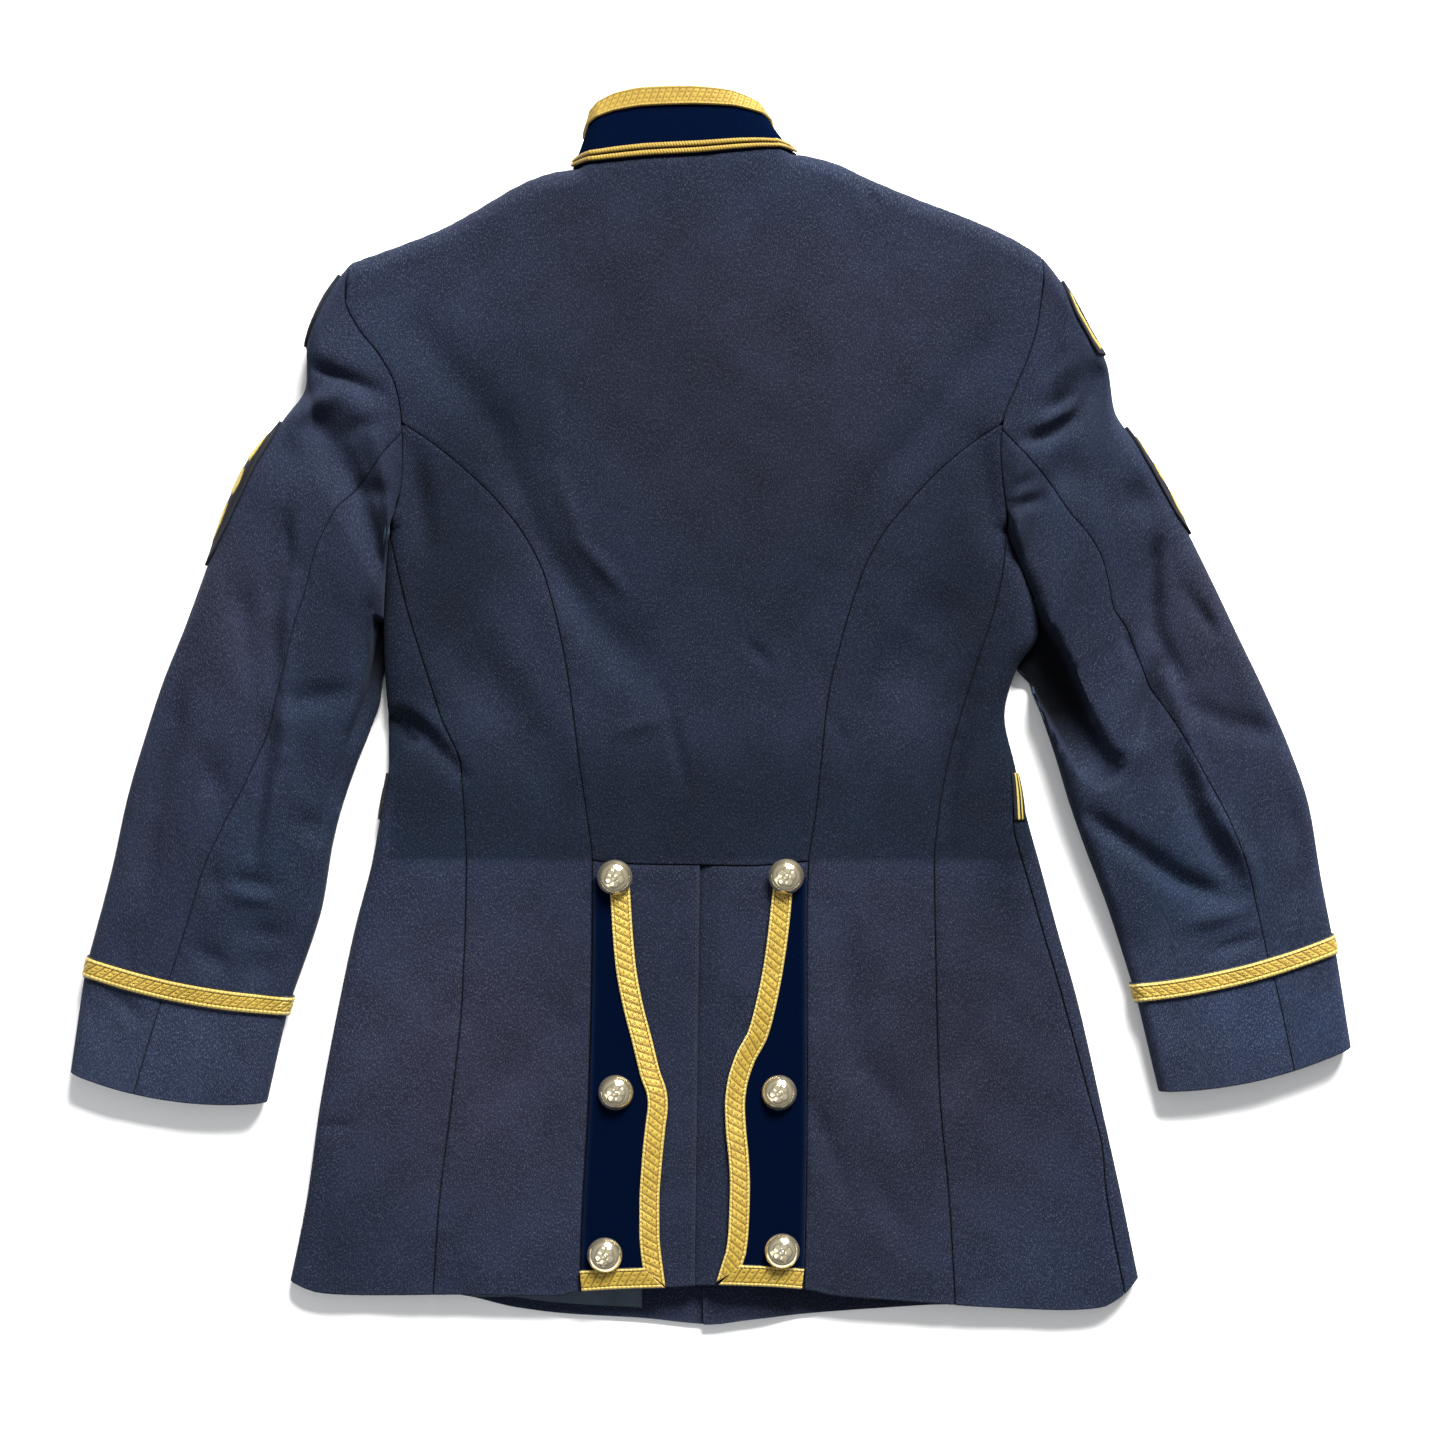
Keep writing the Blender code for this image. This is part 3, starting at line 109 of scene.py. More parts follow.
# Curved seam from the armhole down the back, straight from the waist to the hem
PRINCESS = [
    # y, left, right
    (-376, -84.3, 59.4),
    (-315, -82.2, 60.8),
    (-251, -78.5, 61.5),
    (-142, -76.1, 61.2),
    (-99, -76, 62.3),
    (-69, -79.5, 66.8),
    (-37, -84.2, 70.2),
    (11, -90, 75.5),
    (36, -94.2, 81.4),
    (62, -99.7, 88.5),
    (88, -107.4, 97.4),
    (113, -121, 111.2),
    (132, -136.5, 127.5),
    (149, -154, 143.5),
    (166, -174.5, 163.5),
    (181.4, -197, 186),
]

# Plan of both armholes, the same on the back and on the front
ARMHOLE = [
    # y, left, right
    (113, -206.5, 189),
    (121, -203.6, 188.9),
    (131, -199.6, 187.8),
    (148, -196.8, 185.6),
    (166, -196.5, 184.4),
    (184, -197.2, 186.4),
    (204, -200.8, 194.2),
    (224, -211, 202.3),
    (242, -225, 207.6),
    (260, -232.8, 210.2),
    (272, -232.4, 211.8),
    (283.8, -230.4, 211.8),
    (290, -230.4, 211.8),
]
SHOULDER_Y = {-1: 283.8, 1: 287.7}

# Seam between the underarm panel and the front: inset from the side edge, plus on the back,
# minus underneath
FRONT_SEAM = [
    # y, left, right
    (-376, -46, 11),
    (-346, -45, 11),
    (-310, -43, 9.5),
    (-277, -41, 5.5),
    (-245, -39, 7),
    (-187, -36, 9.6),
    (-133, -33, 10.2),
    (-85, -31, 11.5),
    (-50, -30, 2),
    (-20, -29, -12),
    (20, -28, -25),
    (62, -27, -30),
    (113, -22, -22),
    (132, -13, -13),
    (150.1, 0, 0),
]

# Shoulder line and back neck, left to right
NECK = (-89.0, 55.7)
NECK_MIDDLE = (NECK[0] + NECK[1]) / 2
NECK_HALF = (NECK[1] - NECK[0]) / 2
BACK_TOP = [
    # x, y
    (-240, 279.5),
    (-230.4, 283.8),
    (-205.4, 292.8),
    (-172.2, 305.6),
    (-148.5, 318.4),
    (-126.7, 331.2),
    (-113.3, 337.6),
    (-96.6, 342.3),
    (-71, 344.5),
    (-43.5, 347.2),
    (-6.4, 349.4),
    (19.8, 352),
    (35.8, 353.4),
    (55.7, 352.6),
    (79.4, 347.2),
    (97.9, 338.6),
    (131.2, 324.8),
    (165.1, 312),
    (193.3, 299.2),
    (211.8, 287.7),
    (221, 281),
]
FRONT_NECK_DROP = 50.0   # the front of the neck is cut this much lower than its sides

# Hems: the corners at both sides are the same on the back and on the front
HEM_LEFT = [
    # x, y
    (-290, -360),
    (-271, -367.6),
    (-262, -371.6),
    (-250, -375.2),
    (-217, -376.6),
]
HEM_RIGHT = [
    # x, y
    (180, -384.2),
    (228, -386),
    (250, -384.4),
    (264, -376.6),
    (275.5, -365),
    (290, -355),
]
BACK_HEM = HEM_LEFT + [
    # x, y
    (-167, -376),
    (-100, -376.6),
    (-84, -373.8),
    (-29, -371.2),
    (4, -369.8),
    (60, -372.5),
    (78, -376.3),
    (122, -379.8),
] + HEM_RIGHT
FRONT_HEM = HEM_LEFT + [
    # x, y
    (-167, -377),
    (-124, -385.6),
    (-95, -389.2),
    (-45, -392.2),
    (0, -396.2),
    (21, -393.6),
    (68, -388.8),
    (106, -386),
    (152, -383.6),
] + HEM_RIGHT
WAIST_SEAM = [
    # x, y
    (-80, -97.6),
    (-49, -100.2),
    (-8, -100.8),
    (21, -101.4),
    (70, -97.8),
]
CENTRE_FRONT = [
    # y, x
    (-396, -5),
    (300, -16.6),
]
VENT_EDGE = [
    # y, x
    (-376, -10.6),
    (-251, -9),
    (-99, -7.2),
]

# How high the back lies over the surface
HEIGHT = [
    # y, height
    (-396, 12),
    (-250, 13),
    (-99, 15),
    (0, 19),
    (113, 26),
    (200, 29),
    (283, 31),
    (400, 33),
]

# Large soft troughs and ridges of the back
TORSO_FOLDS = [
    # x0, y0, x1, y1, width, depth
    (-160, 40, -125, -15, 22, -3),
    (-105, 95, -64, 55, 24, -1.8),
    (150, 55, 120, -25, 24, -2.4),
    (95, 90, 60, 50, 24, -1.5),
    (-195, 0, -165, -30, 14, -2.4),
    (178, -10, 150, -45, 16, -2),
]

# Sleeves from the armhole to the cuff: the plan of each ring's two ends, where the elbow seam
# crosses it on the back (share of the width from the inner end), its height over the surface,
# and how far its middle bows towards the cuff
SLEEVES = {
    -1: [
        # outer x, outer y, inner x, inner y, elbow seam, height, bow
        (-230.4, 283.8, -206.5, 113, 0.363, 29, 0),
        (-247, 260.8, -207.4, 103.4, 0.375, 30, 3),
        (-257.9, 232, -208.4, 93.1, 0.400, 25, 2),
        (-259.2, 206.4, -209.2, 81.6, 0.457, 20, 0),
        (-273.3, 183.4, -209.8, 67.5, 0.488, 29, 0),
        (-293.8, 158.4, -210.3, 50.9, 0.480, 28, 1),
        (-306.6, 132.8, -210.4, 31.7, 0.480, 26, 2),
        (-321.9, 90.6, -211.2, 7.4, 0.486, 25, 3),
        (-336, 52.2, -218.2, -15.7, 0.470, 25, 4),
        (-350.7, 15.7, -227.2, -38.7, 0.440, 24, 4),
        (-362.2, -19.5, -235.5, -63, 0.465, 23, 4),
        (-373.1, -56, -241.9, -88.6, 0.520, 21, 4),
        (-383.4, -102.7, -248.3, -126.4, 0.585, 19, 4),
        (-398.7, -159.7, -268.2, -185.3, 0.592, 16, 4.5),
        (-401.3, -171.2, -271.4, -196.2, 0.603, 15.6, 5),
        (-410.6, -233.9, -284.4, -253.1, 0.665, 14, 8),
    ],
    1: [
        # outer x, outer y, inner x, inner y, elbow seam, height, bow
        (211.8, 287.7, 189, 113, 0.363, 29, 0),
        (227.2, 266.6, 191.4, 105.9, 0.368, 30, 3),
        (240.6, 242.9, 196, 98.2, 0.380, 27, 3),
        (254.1, 217.3, 200.8, 88.6, 0.400, 21, 1),
        (257.9, 190.4, 207.4, 73.9, 0.439, 24, 0),
        (273.3, 167.4, 211.9, 57.3, 0.477, 28, 1),
        (287.4, 145.6, 211.4, 42.6, 0.500, 27, 2),
        (304, 113.6, 203.6, 27.8, 0.520, 26, 3),
        (320.6, 80.3, 204.2, 12.5, 0.520, 25, 3),
        (338.6, 42.6, 211.2, -6.7, 0.520, 24, 3),
        (355.2, 8, 219.5, -31, 0.560, 24, 3),
        (370.6, -27.2, 228.5, -60.5, 0.604, 22, 3),
        (382.7, -62.4, 239.4, -91.2, 0.645, 20, 3),
        (391, -110.4, 252.8, -125.8, 0.675, 18, 4),
        (398.1, -145.6, 269.4, -177, 0.664, 16, 5),
        (400.4, -156.4, 272.6, -187.8, 0.670, 15.6, 5),
        (410.3, -217.9, 286.7, -246.1, 0.689, 14, 7),
    ],
}
LACE_STATIONS = {-1: (13, 14), 1: (14, 15)}
SLEEVE_CLEARANCE = -0.4  # between the sleeve's inner fold and the torso's side
FRONT_SEAM_SHARE = 0.217

# Large folds of the sleeves
SLEEVE_FOLDS = {
    -1: [
        # x0, y0, x1, y1, width, depth
        (-250, 214, -208, 201, 9, -6),
        (-270, 186, -232, 200, 8, 3),
        (-216, 60, -217, -5, 8, -6),
        (-232, -20, -246, -80, 9, -3.5),
        (-338, 10, -368, -95, 14, -3),
        (-270, 118, -268, 78, 12, -2),
    ],
    1: [
        # x0, y0, x1, y1, width, depth
        (246, 214, 208, 190, 9, -6),
        (240, 186, 200, 171, 8, -3),
        (212, 40, 226, -20, 9, -7),
        (234, -30, 262, -45, 9, -3),
        (281, 95, 281, 48, 12, -2.5),
        (332, -95, 340, -125, 16, -3),
    ],
}

# Collar: rim of the standing band, as a flattened ring
RIM_CENTRE = (-21.6, 370.0)
RIM_HALF = (56.0, 25.6)
RIM_POWER = 0.75
COLLAR_HEIGHT = 31.0
COLLAR_RIM_HEIGHT = 27.0

# Tail flaps: the inner edge of each one's lace
FLAP_EDGE = {
    -1: [
        # y, x
        (-371.5, -29.2),
        (-360, -30.6),
        (-350, -32),
        (-337, -33),
        (-318, -33),
        (-290, -31.4),
        (-268, -29.2),
        (-254, -27.6),
        (-247, -28.2),
        (-235, -32.2),
        (-215, -37.2),
        (-189, -43.8),
        (-163, -48.4),
        (-119, -51.6),
        (-104, -52.4),
    ],
    1: [
        # y, x
        (-371.5, 3.4),
        (-360, 6.4),
        (-350, 9.2),
        (-335, 11.2),
        (-304, 12.2),
        (-290, 11.6),
        (-268, 9.6),
        (-254, 9),
        (-242, 10.2),
        (-225, 15.2),
        (-209, 23.6),
        (-189, 29),
        (-163, 34),
        (-119, 39.2),
        (-104, 40.4),
    ],
}
FLAP_LEVELS = [-350, -330, -305, -280, -262, -254, -247, -235, -215, -189, -163, -119, -108.5]
LACE_TOP_Y = -112.5      # the lace ends under the top button

BELT_LOOP_SPAN = (-72.0, -42.0)
BELT_LOOP_REACH = {-1: (-6.0, 2.0), 1: (0.8, 7.0)}
BELT_LOOP_LEAN = {-1: 0.0, 1: 3.8}    # its lower end lies farther from the edge

# Badges at the outer edges of the sleeves: station along the sleeve, then how far over the
# back the badge reaches (sleeve ring units, 3 to 4 is the outer fold's upper quarter)
SHOULDER_PATCH = {
    -1: [(0.35, 3.75), (0.7, 3.38), (1.1, 3.3), (1.5, 3.4), (1.85, 3.5), (2.05, 3.8)],
    1: [(0.75, 3.75), (1.0, 3.35), (1.4, 3.2), (1.9, 3.25), (2.4, 3.3), (2.7, 3.75)],
}
CHEVRON_PATCH = {
    -1: [(4.05, 3.78), (4.4, 3.5), (5.0, 3.32), (5.6, 3.26), (6.2, 3.32), (6.7, 3.52), (7.0, 3.8)],
    1: [(4.5, 3.85), (4.9, 3.64), (5.5, 3.52), (6.1, 3.48), (6.6, 3.52), (6.9, 3.66), (7.1, 3.85)],
}

# Inside of the left front that shows below the back hem
LINING_SPAN_X = (-154.0, -44.0)
LINING_DEPTH = 46.0
HEM_FACING = 6.0

CREASE_SCALE = 2.1       # of the finer creases' depths

# Finer creases of the back, as troughs (minus) and ridges (plus) of the cloth
TORSO_CREASES = [
    # x0, y0, x1, y1, width, depth
    (-186, 240, -137, 178, 12, -1.3),
    (-137, 178, -111, 110, 11, -1.9),
    (-111, 110, -79, 58, 11, -2.2),
    (-79, 58, -43, 22, 14, -1.5),
    (-103, 200, -98, 149, 7, 0.6),
    (-98, 149, -82, 104, 6, 0.9),
    (-82, 104, -56, 75, 5, 1.2),
    (-189, 162, -182, 104, 8, -2.4),
    (-125, -15, -95, -55, 20, -1.8),
    (-137, 58, -111, 6, 12, 0.9),
    (-203, -2, -186, -14, 4.5, -2.8),
    (-186, -14, -158, -45, 5, -2),
    (-190, 2, -170, -18, 6, 1.4),
    (181, 237, 139, 182, 12, -1.2),
    (139, 182, 106, 143, 12, -1.9),
    (106, 143, 84, 91, 12, -1.8),
    (171, 168, 181, 104, 9, -2.4),
    (155, 75, 132, 45, 16, -1.4),
    (132, 45, 106, 10, 18, -1.8),
    (106, 10, 80, -72, 20, -1.8),
    (168, 26, 158, -23, 7, -1.6),
    (158, -23, 148, -72, 7, -1.6),
    (171, -7, 158, -81, 7, 1.3),
    (22, 42, 38, 26, 4.5, -0.8),
    (-30, 10, -17, -49, 5, -0.9),
    (-62, -16, -30, -7, 5, 0.7),
    (74, 0, 87, -26, 4, -0.7),
    (41, 311, 22, 276, 7, -0.8),
    (22, 276, 9, 250, 8, -0.6),
    (-144, 302, -153, 260, 9, -0.7),
    (96, 331, 106, 318, 4, -0.9),
    (-248, -269, -232, -268, 3.5, -1.1),
    (-99, -201, -203, -313, 16, -1.2),
    (-99, -265, -111, -297, 9, -1.1),
    (-111, -297, -135, -354, 10, -1.1),
    (82, -132, 94, -225, 12, -1.5),
    (94, -225, 126, -265, 12, -1.4),
    (187, -112, 179, -185, 11, -2),
    (179, -185, 158, -241, 11, -1.9),
    (151, -112, 146, -213, 13, 1.1),
    (66, -253, 78, -289, 6, -1.2),
    (78, -289, 86, -313, 6, -0.9),
    (102, -297, 126, -345, 9, -0.9),
    (-199, -329, -219, -370, 10, -0.9),
]

# Finer creases of the sleeves' backs
SLEEVE_CREASES = {
    -1: [
        (-251, 216, -231, 209, 3.5, -2.2),
        (-231, 209, -202, 198, 3.8, -2.6),
        (-233, 205, -262, 185, 5, 2),
        (-257, 200, -240, 203, 7, -0.9),
        (-206, 182, -226, 178, 5, -1.5),
        (-226, 178, -237, 171, 6, -0.8),
        (-278, 171, -242, 149, 13, -1.5),
        (-224, 140, -202, 135, 7, -1.5),
        (-271, 120, -269, 93, 6, -1.7),
        (-269, 93, -278, 70, 7, -1.5),
        (-278, 70, -278, 3, 8, -1.8),
        (-264, 111, -267, 82, 4, 0.8),
        (-267, 82, -273, -8, 4.5, 1.3),
        (-302, 75, -296, 52, 8, -1.3),
        (-296, 52, -291, 14, 8, -1.2),
        (-331, 48, -341, 14, 6, -1.6),
        (-341, 14, -343, -13, 7, -1.4),
        (-343, -13, -356, -58, 9, -1.8),
        (-356, -58, -364, -118, 10, -1.8),
        (-270, 1, -272, -31, 5, 1.7),
        (-272, -31, -286, -96, 5, 2),
        (-281, -8, -292, -92, 6, -2.2),
        (-320, -33, -314, -60, 8, -1.5),
        (-305, -109, -282, -114, 5, -1.1),
        (-305, -119, -282, -123, 5, 1.2),
        (-296, -143, -273, -145, 7, -1),
        (-284, -154, -291, -176, 10, -1.3),
        (-318, -102, -316, -118, 5, -1.2),
        (-269, 3, -229, 10, 8, -1.9),
        (-262, -72, -250, -78, 8, -1.2),
        (-329, -154, -311, -167, 7, -1.2),
        (-383, -183, -365, -199, 6, -1),
    ],
    1: [
        (196, 170, 214, 173, 4.5, -2.8),
        (214, 173, 234, 187, 5, -3.4),
        (234, 187, 248, 207, 7, -3.2),
        (248, 205, 247, 222, 9, -2),
        (212, 189, 230, 198, 3.5, -2.6),
        (208, 180, 230, 190, 4, 1.4),
        (205, 207, 227, 227, 4, -1.3),
        (189, 138, 207, 146, 4, -1.3),
        (189, 126, 210, 133, 4.5, -2.4),
        (221, 147, 241, 149, 12, -1.8),
        (259, 131, 283, 133, 12, -1.9),
        (283, 104, 280, 82, 5, -2.6),
        (280, 82, 281, 52, 6, -2.4),
        (281, 52, 299, 17, 6, -2.2),
        (290, 96, 288, 60, 5, 0.9),
        (301, 75, 319, 50, 5, -1.3),
        (261, 52, 270, 28, 3, -1.1),
        (284, 25, 274, -18, 6, -4),
        (291, 18, 303, -16, 5, 1.6),
        (303, -20, 317, -60, 6, 2),
        (317, -60, 342, -98, 6, 2.4),
        (342, -98, 345, -116, 6, 2),
        (297, -34, 309, -66, 9, -2.6),
        (309, -66, 333, -106, 9, -3.2),
        (242, -69, 269, -89, 6, -3),
        (269, -89, 298, -110, 7, -3.4),
        (298, -110, 327, -122, 7, -3),
        (306, -137, 340, -129, 6, 1.8),
        (322, -156, 347, -147, 4, -1.5),
        (371, -62, 378, -101, 8, -1.8),
        (378, -101, 372, -126, 8, -1.4),
        (303, 3, 327, -9, 7, -1.3),
        (327, -9, 363, -18, 8, -1.6),
        (313, 61, 320, 47, 4, -1.1),
        (262, -140, 268, -166, 12, -1.6),
    ],
}

# Pockets where an upper layer overhangs a lower one: level of the lower layer, width of the
# step, how dark it lies in shade, where the shade is full and where it has faded, then the
# corners of the outline
TORSO_POCKETS = [
    (8, 3, 0.55, (-200, -5, -206, -44),
     [(-210, 1), (-197, -9), (-186, -21), (-194, -27), (-199, -37), (-204, -42), (-212, -30)]),
]
SLEEVE_POCKETS = {
    -1: [
        (5, 3, 1, (-213, 30, -226, -30),
         [(-214, 56), (-218, 30), (-221.5, 11), (-232, -18), (-237.5, -43), (-239, -66),
          (-226, -66), (-214, -35), (-204, -8), (-200, 56)]),
    ],
    1: [
        (5, 4, 1, (216, -4, 228, -46),
         [(204, 69), (224.6, 36), (244, -8), (254, -27), (260, -31), (263, -37), (258, -46),
          (248, -52), (234, -41), (219.5, -13), (206, 11), (190, 30)]),
    ],
}

# Soft patches of the cloth's colour: tint is plus towards teal and minus towards purple,
# depth is plus for painted shade and minus for painted light (the light's falloff, shade
# under the sleeves and in the creases), mixed with some of the cloth's own tone
TONE_AND_SHADING_SPOTS = [
    # x, y, half width, half height, tint, depth
    (-360, -215, 90, 38, -0.3, -0.47),
    (360, -200, 90, 38, 0.25, -0.40),
    (-60, 60, 60, 70, 0.4, 0.05),
    (110, 90, 50, 60, 0.3, 0.05),
    (-165, 110, 34, 70, 0.8, 0.30),
    (165, 100, 34, 80, 0.6, 0.30),
    (-135, 190, 30, 30, 0.6, 0.22),
    (-200, 10, 30, 60, 0.9, 0.20),
    (186, -10, 34, 70, 0.9, 0.46),
    (0, 150, 165, 190, 0.1, 0.24),
    (-20, -230, 50, 120, 0, 0.08),
    (-250, 10, 26, 90, 0.6, 0.10),
    (-285, -110, 40, 50, 0.8, 0.05),
    (240, 100, 40, 60, 0.5, 0.15),
    (300, -110, 60, 40, 0.8, 0.05),
    (20, 260, 170, 60, -0.5, 0.03),
    (20, 150, 90, 60, -0.5, 0),
    (-150, -230, 90, 110, -0.8, -0.05),
    (130, -230, 90, 110, -0.8, 0.12),
    (-310, 60, 40, 60, -0.8, 0.05),
    (320, 60, 40, 70, -0.6, 0),
    (-240, -340, 30, 40, 0.4, 0.1),
    (0, -330, 60, 40, 0.3, 0.05),
]
WAIST_BAND = (-100.0, -62.0, 62.0)    # sharp lower edge, soft upper edge, its softness


def curve(table, column=1):
    """A smooth function through a table's rows that never overshoots them."""
    x = np.array([row[0] for row in table], float)
    y = np.array([row[column] for row in table], float)
    step = np.diff(x)
    secant = np.diff(y) / step
    slope = np.zeros(len(x))
    slope[0] = secant[0]
    slope[-1] = secant[-1]
    for i in range(1, len(x) - 1):
        if secant[i - 1] * secant[i] > 0:
            weight_a = 2 * step[i] + step[i - 1]
            weight_b = step[i] + 2 * step[i - 1]
            total = weight_a + weight_b
            slope[i] = total / (weight_a / secant[i - 1] + weight_b / secant[i])

    def value(at):
        at = np.clip(at, x[0], x[-1])
        i = np.clip(np.searchsorted(x, at, side="right") - 1, 0, len(x) - 2)
        u = (at - x[i]) / step[i]
        return ((1 + 2 * u) * (1 - u) ** 2 * y[i] + u * (1 - u) ** 2 * step[i] * slope[i]
                + u * u * (3 - 2 * u) * y[i + 1] + u * u * (u - 1) * step[i] * slope[i + 1])

    return value


def by_side(table):
    """Left and right curves of a table whose columns are y, left, right."""
    return {-1: curve(table, 1), 1: curve(table, 2)}


edge_curve = by_side(EDGE)
side_seam_x = by_side(SIDE_SEAM)
princess_x = by_side(PRINCESS)
armhole_x = by_side(ARMHOLE)
front_seam_inset = by_side(FRONT_SEAM)
back_top = curve(BACK_TOP)
back_hem = curve(BACK_HEM)
front_hem = curve(FRONT_HEM)
waist_seam = curve(WAIST_SEAM)
centre_front = curve(CENTRE_FRONT)
vent_edge = curve(VENT_EDGE)
base_height = curve(HEIGHT)
flap_edge = {side: curve(FLAP_EDGE[side]) for side in SIDES}


def lerp(a, b, u):
    return a + (b - a) * u


def smoothstep(u):
    u = np.clip(u, 0.0, 1.0)
    return u * u * (3 - 2 * u)


def points_of(*axes):
    return np.stack(np.broadcast_arrays(*axes), axis=-1)


END_DEPTH = 0.45         # of a fold at its two ends, as a share of its depth


def fold_depth(folds, x, y):
    """Sum of the soft troughs and ridges at points of the plan."""
    total = np.zeros(np.broadcast(x, y).shape)
    for x0, y0, x1, y1, width, depth in folds:
        dx = x1 - x0
        dy = y1 - y0
        along = ((x - x0) * dx + (y - y0) * dy) / (dx * dx + dy * dy)
        nearest = np.clip(along, 0.0, 1.0)
        away = np.hypot(x - x0 - nearest * dx, y - y0 - nearest * dy)
        fade = lerp(END_DEPTH, 1.0, np.sin(math.pi * nearest))
        total = total + depth * fade * np.exp(-(away / width) ** 2)
    return total


def inside_depth(corners, x, y):
    """Distance inside a closed outline, negative outside it."""
    best = np.full(np.broadcast(x, y).shape, 1e9)
    inside = np.zeros(best.shape, bool)
    for (x0, y0), (x1, y1) in zip(corners, corners[1:] + corners[:1]):
        dx = x1 - x0
        dy = y1 - y0
        u = np.clip(((x - x0) * dx + (y - y0) * dy) / (dx * dx + dy * dy), 0.0, 1.0)
        best = np.minimum(best, np.hypot(x - x0 - u * dx, y - y0 - u * dy))
        crosses = (y0 > y) != (y1 > y)
        height = dy if dy else 1e-9
        inside ^= crosses & (x < x0 + (y - y0) * dx / height)
    return np.where(inside, best, -best)


RISE_OF_POCKET = 0.7     # how far a pocket comes up again at its far end


def sink_pockets(pockets, x, y, top):
    """How much lower the cloth lies inside each pocket, as a share, and how deep in shade."""
    share = np.ones(top.shape)
    shade = np.zeros(top.shape)
    for level, step, dark, (full_x, full_y, none_x, none_y), corners in pockets:
        u = smoothstep(inside_depth(corners, x, y) / step + 0.5)
        dx = none_x - full_x
        dy = none_y - full_y
        along = ((x - full_x) * dx + (y - full_y) * dy) / (dx * dx + dy * dy)
        lit = np.clip(along, 0.0, 1.0)
        sunk = u * (1 - RISE_OF_POCKET * lit)
        share = share * lerp(1.0, np.minimum(1.0, level / top), sunk)
        shade = np.maximum(shade, dark * u * (1 - lit) ** 1.5)
    return share, shade


def ripple(x, y):
    """Slow unevenness of cloth that has been worn and laid down."""
    return (0.22 * np.sin(x / 17.0 + 1.3 * np.sin(y / 41.0))
            * np.sin(y / 23.0 + 0.9 * np.sin(x / 37.0 + 1.0))
            + 0.16 * np.sin(x / 9.1 + y / 13.7 + 2.0 * np.sin(y / 29.0))
            + 0.10 * np.sin(x / 5.3 - y / 7.9 + 1.7 * np.sin(x / 19.0)))


TORSO_REACH = 200.0      # half the width that the band above the waist covers
BAND_TINT = 0.9
BAND_DEPTH = 0.32


def cloth_tone_and_shading(x, y):
    """Tint of the cloth's colour, and its depth, which is painted light and shade mixed with the
    cloth's own tone, each from 0 to 1.
    """
    tint = 0.2 * np.sin(x / 61.0 + 1.0) * np.sin(y / 47.0)
    depth = 0.06 * np.sin(x / 43.0) * np.sin(y / 71.0 + 0.6)
    # a spot's depth darkens the cloth with painted shade, and where minus lightens it with painted
    # light; some of it is the cloth's own tone
    for cx, cy, half_width, half_height, spot_tint, spot_shade_and_tone in TONE_AND_SHADING_SPOTS:
        spot = np.exp(-((x - cx) / half_width) ** 2 - ((y - cy) / half_height) ** 2)
        tint = tint + spot_tint * spot
        depth = depth + spot_shade_and_tone * spot
    low, high, soft = WAIST_BAND
    on_torso = 1 - smoothstep((np.abs(x) - TORSO_REACH) / 8.0)
    band = smoothstep((y - low) / 5.0) * (1 - smoothstep((y - high) / soft)) * on_torso
    tint = lerp(tint, BAND_TINT, band)
    depth = depth + BAND_DEPTH * band
    return np.clip(0.5 + 0.5 * tint, 0.0, 1.0), np.clip(0.5 + depth, 0.0, 1.0)


# The torso's surface

CROWN_HALF = 215.0       # half the width over which the back falls away from its middle
CROWN_DROP = 0.16
CROWN_POWER = 2.5


def torso_height(x, y):
    """Height of the back's outer face over the surface."""
    away = np.minimum(np.abs(x / CROWN_HALF), 1.0)
    return base_height(y) * (1.0 - CROWN_DROP * away ** CROWN_POWER)


def torso_edge(side, y):
    """The side edge; above the underarm it runs on outwards, so that the armhole's end rounds."""
    above = armhole_x[side](y) + side * np.clip(y - UNDERARM_Y, 0.0, TORSO_ROUND)
    return np.where(y <= UNDERARM_Y, edge_curve[side](y), above)


def roll(reach):
    """Distance in from a fold, for a distance along the cloth."""
    turned = TORSO_ROUND * (1 - np.cos(reach / TORSO_ROUND * math.pi / 2))
    return np.where(np.abs(reach) >= TORSO_ROUND, np.abs(reach), turned)


def unroll(inset):
    """Distance along the cloth, for a distance in from a fold."""
    turned = TORSO_ROUND * np.arccos(np.clip(1 - np.maximum(inset, 0.0) / TORSO_ROUND, -1, 1))
    return np.where(inset >= TORSO_ROUND, inset, turned * 2 / math.pi)


def front_neck(x):
    """The front neckline, a dip between the two neck points."""
    share = np.clip((x - NECK_MIDDLE) / NECK_HALF, -1.0, 1.0)
    sides = lerp(back_top(NECK[0]), back_top(NECK[1]), (x - NECK[0]) / (2 * NECK_HALF))
    dipped = sides - FRONT_NECK_DROP * np.sqrt(1 - share * share)
    return np.where(np.abs(share) >= 1, back_top(x), dipped)


def shoulder_share(x):
    """One on the shoulders, where the back and front fold onto each other, none at the neck."""
    inside = np.minimum(x - NECK[0], NECK[1] - x)
    return 1 - smoothstep(inside / TORSO_ROUND)


def front_lift(x, y):
    """The right front rises over the edge of the left one."""
    away = x - centre_front(y)
    return FRONT_LIFT * (1 - smoothstep((away - FRONT_LAP - 12.0) / 30.0))


def finish_torso(x, y, level):
    """Height and shade of the torso's surface, with all its creases."""
    upper = np.maximum(0.0, 2 * level - 1)
    top = torso_height(x, y)
    relief = fold_depth(TORSO_FOLDS, x, y) + ripple(x, y)
    relief = relief + CREASE_SCALE * fold_depth(TORSO_CREASES, x, y)
    share, shade = sink_pockets(TORSO_POCKETS, x, y, top)
    return (top * level + relief * upper) * share, shade


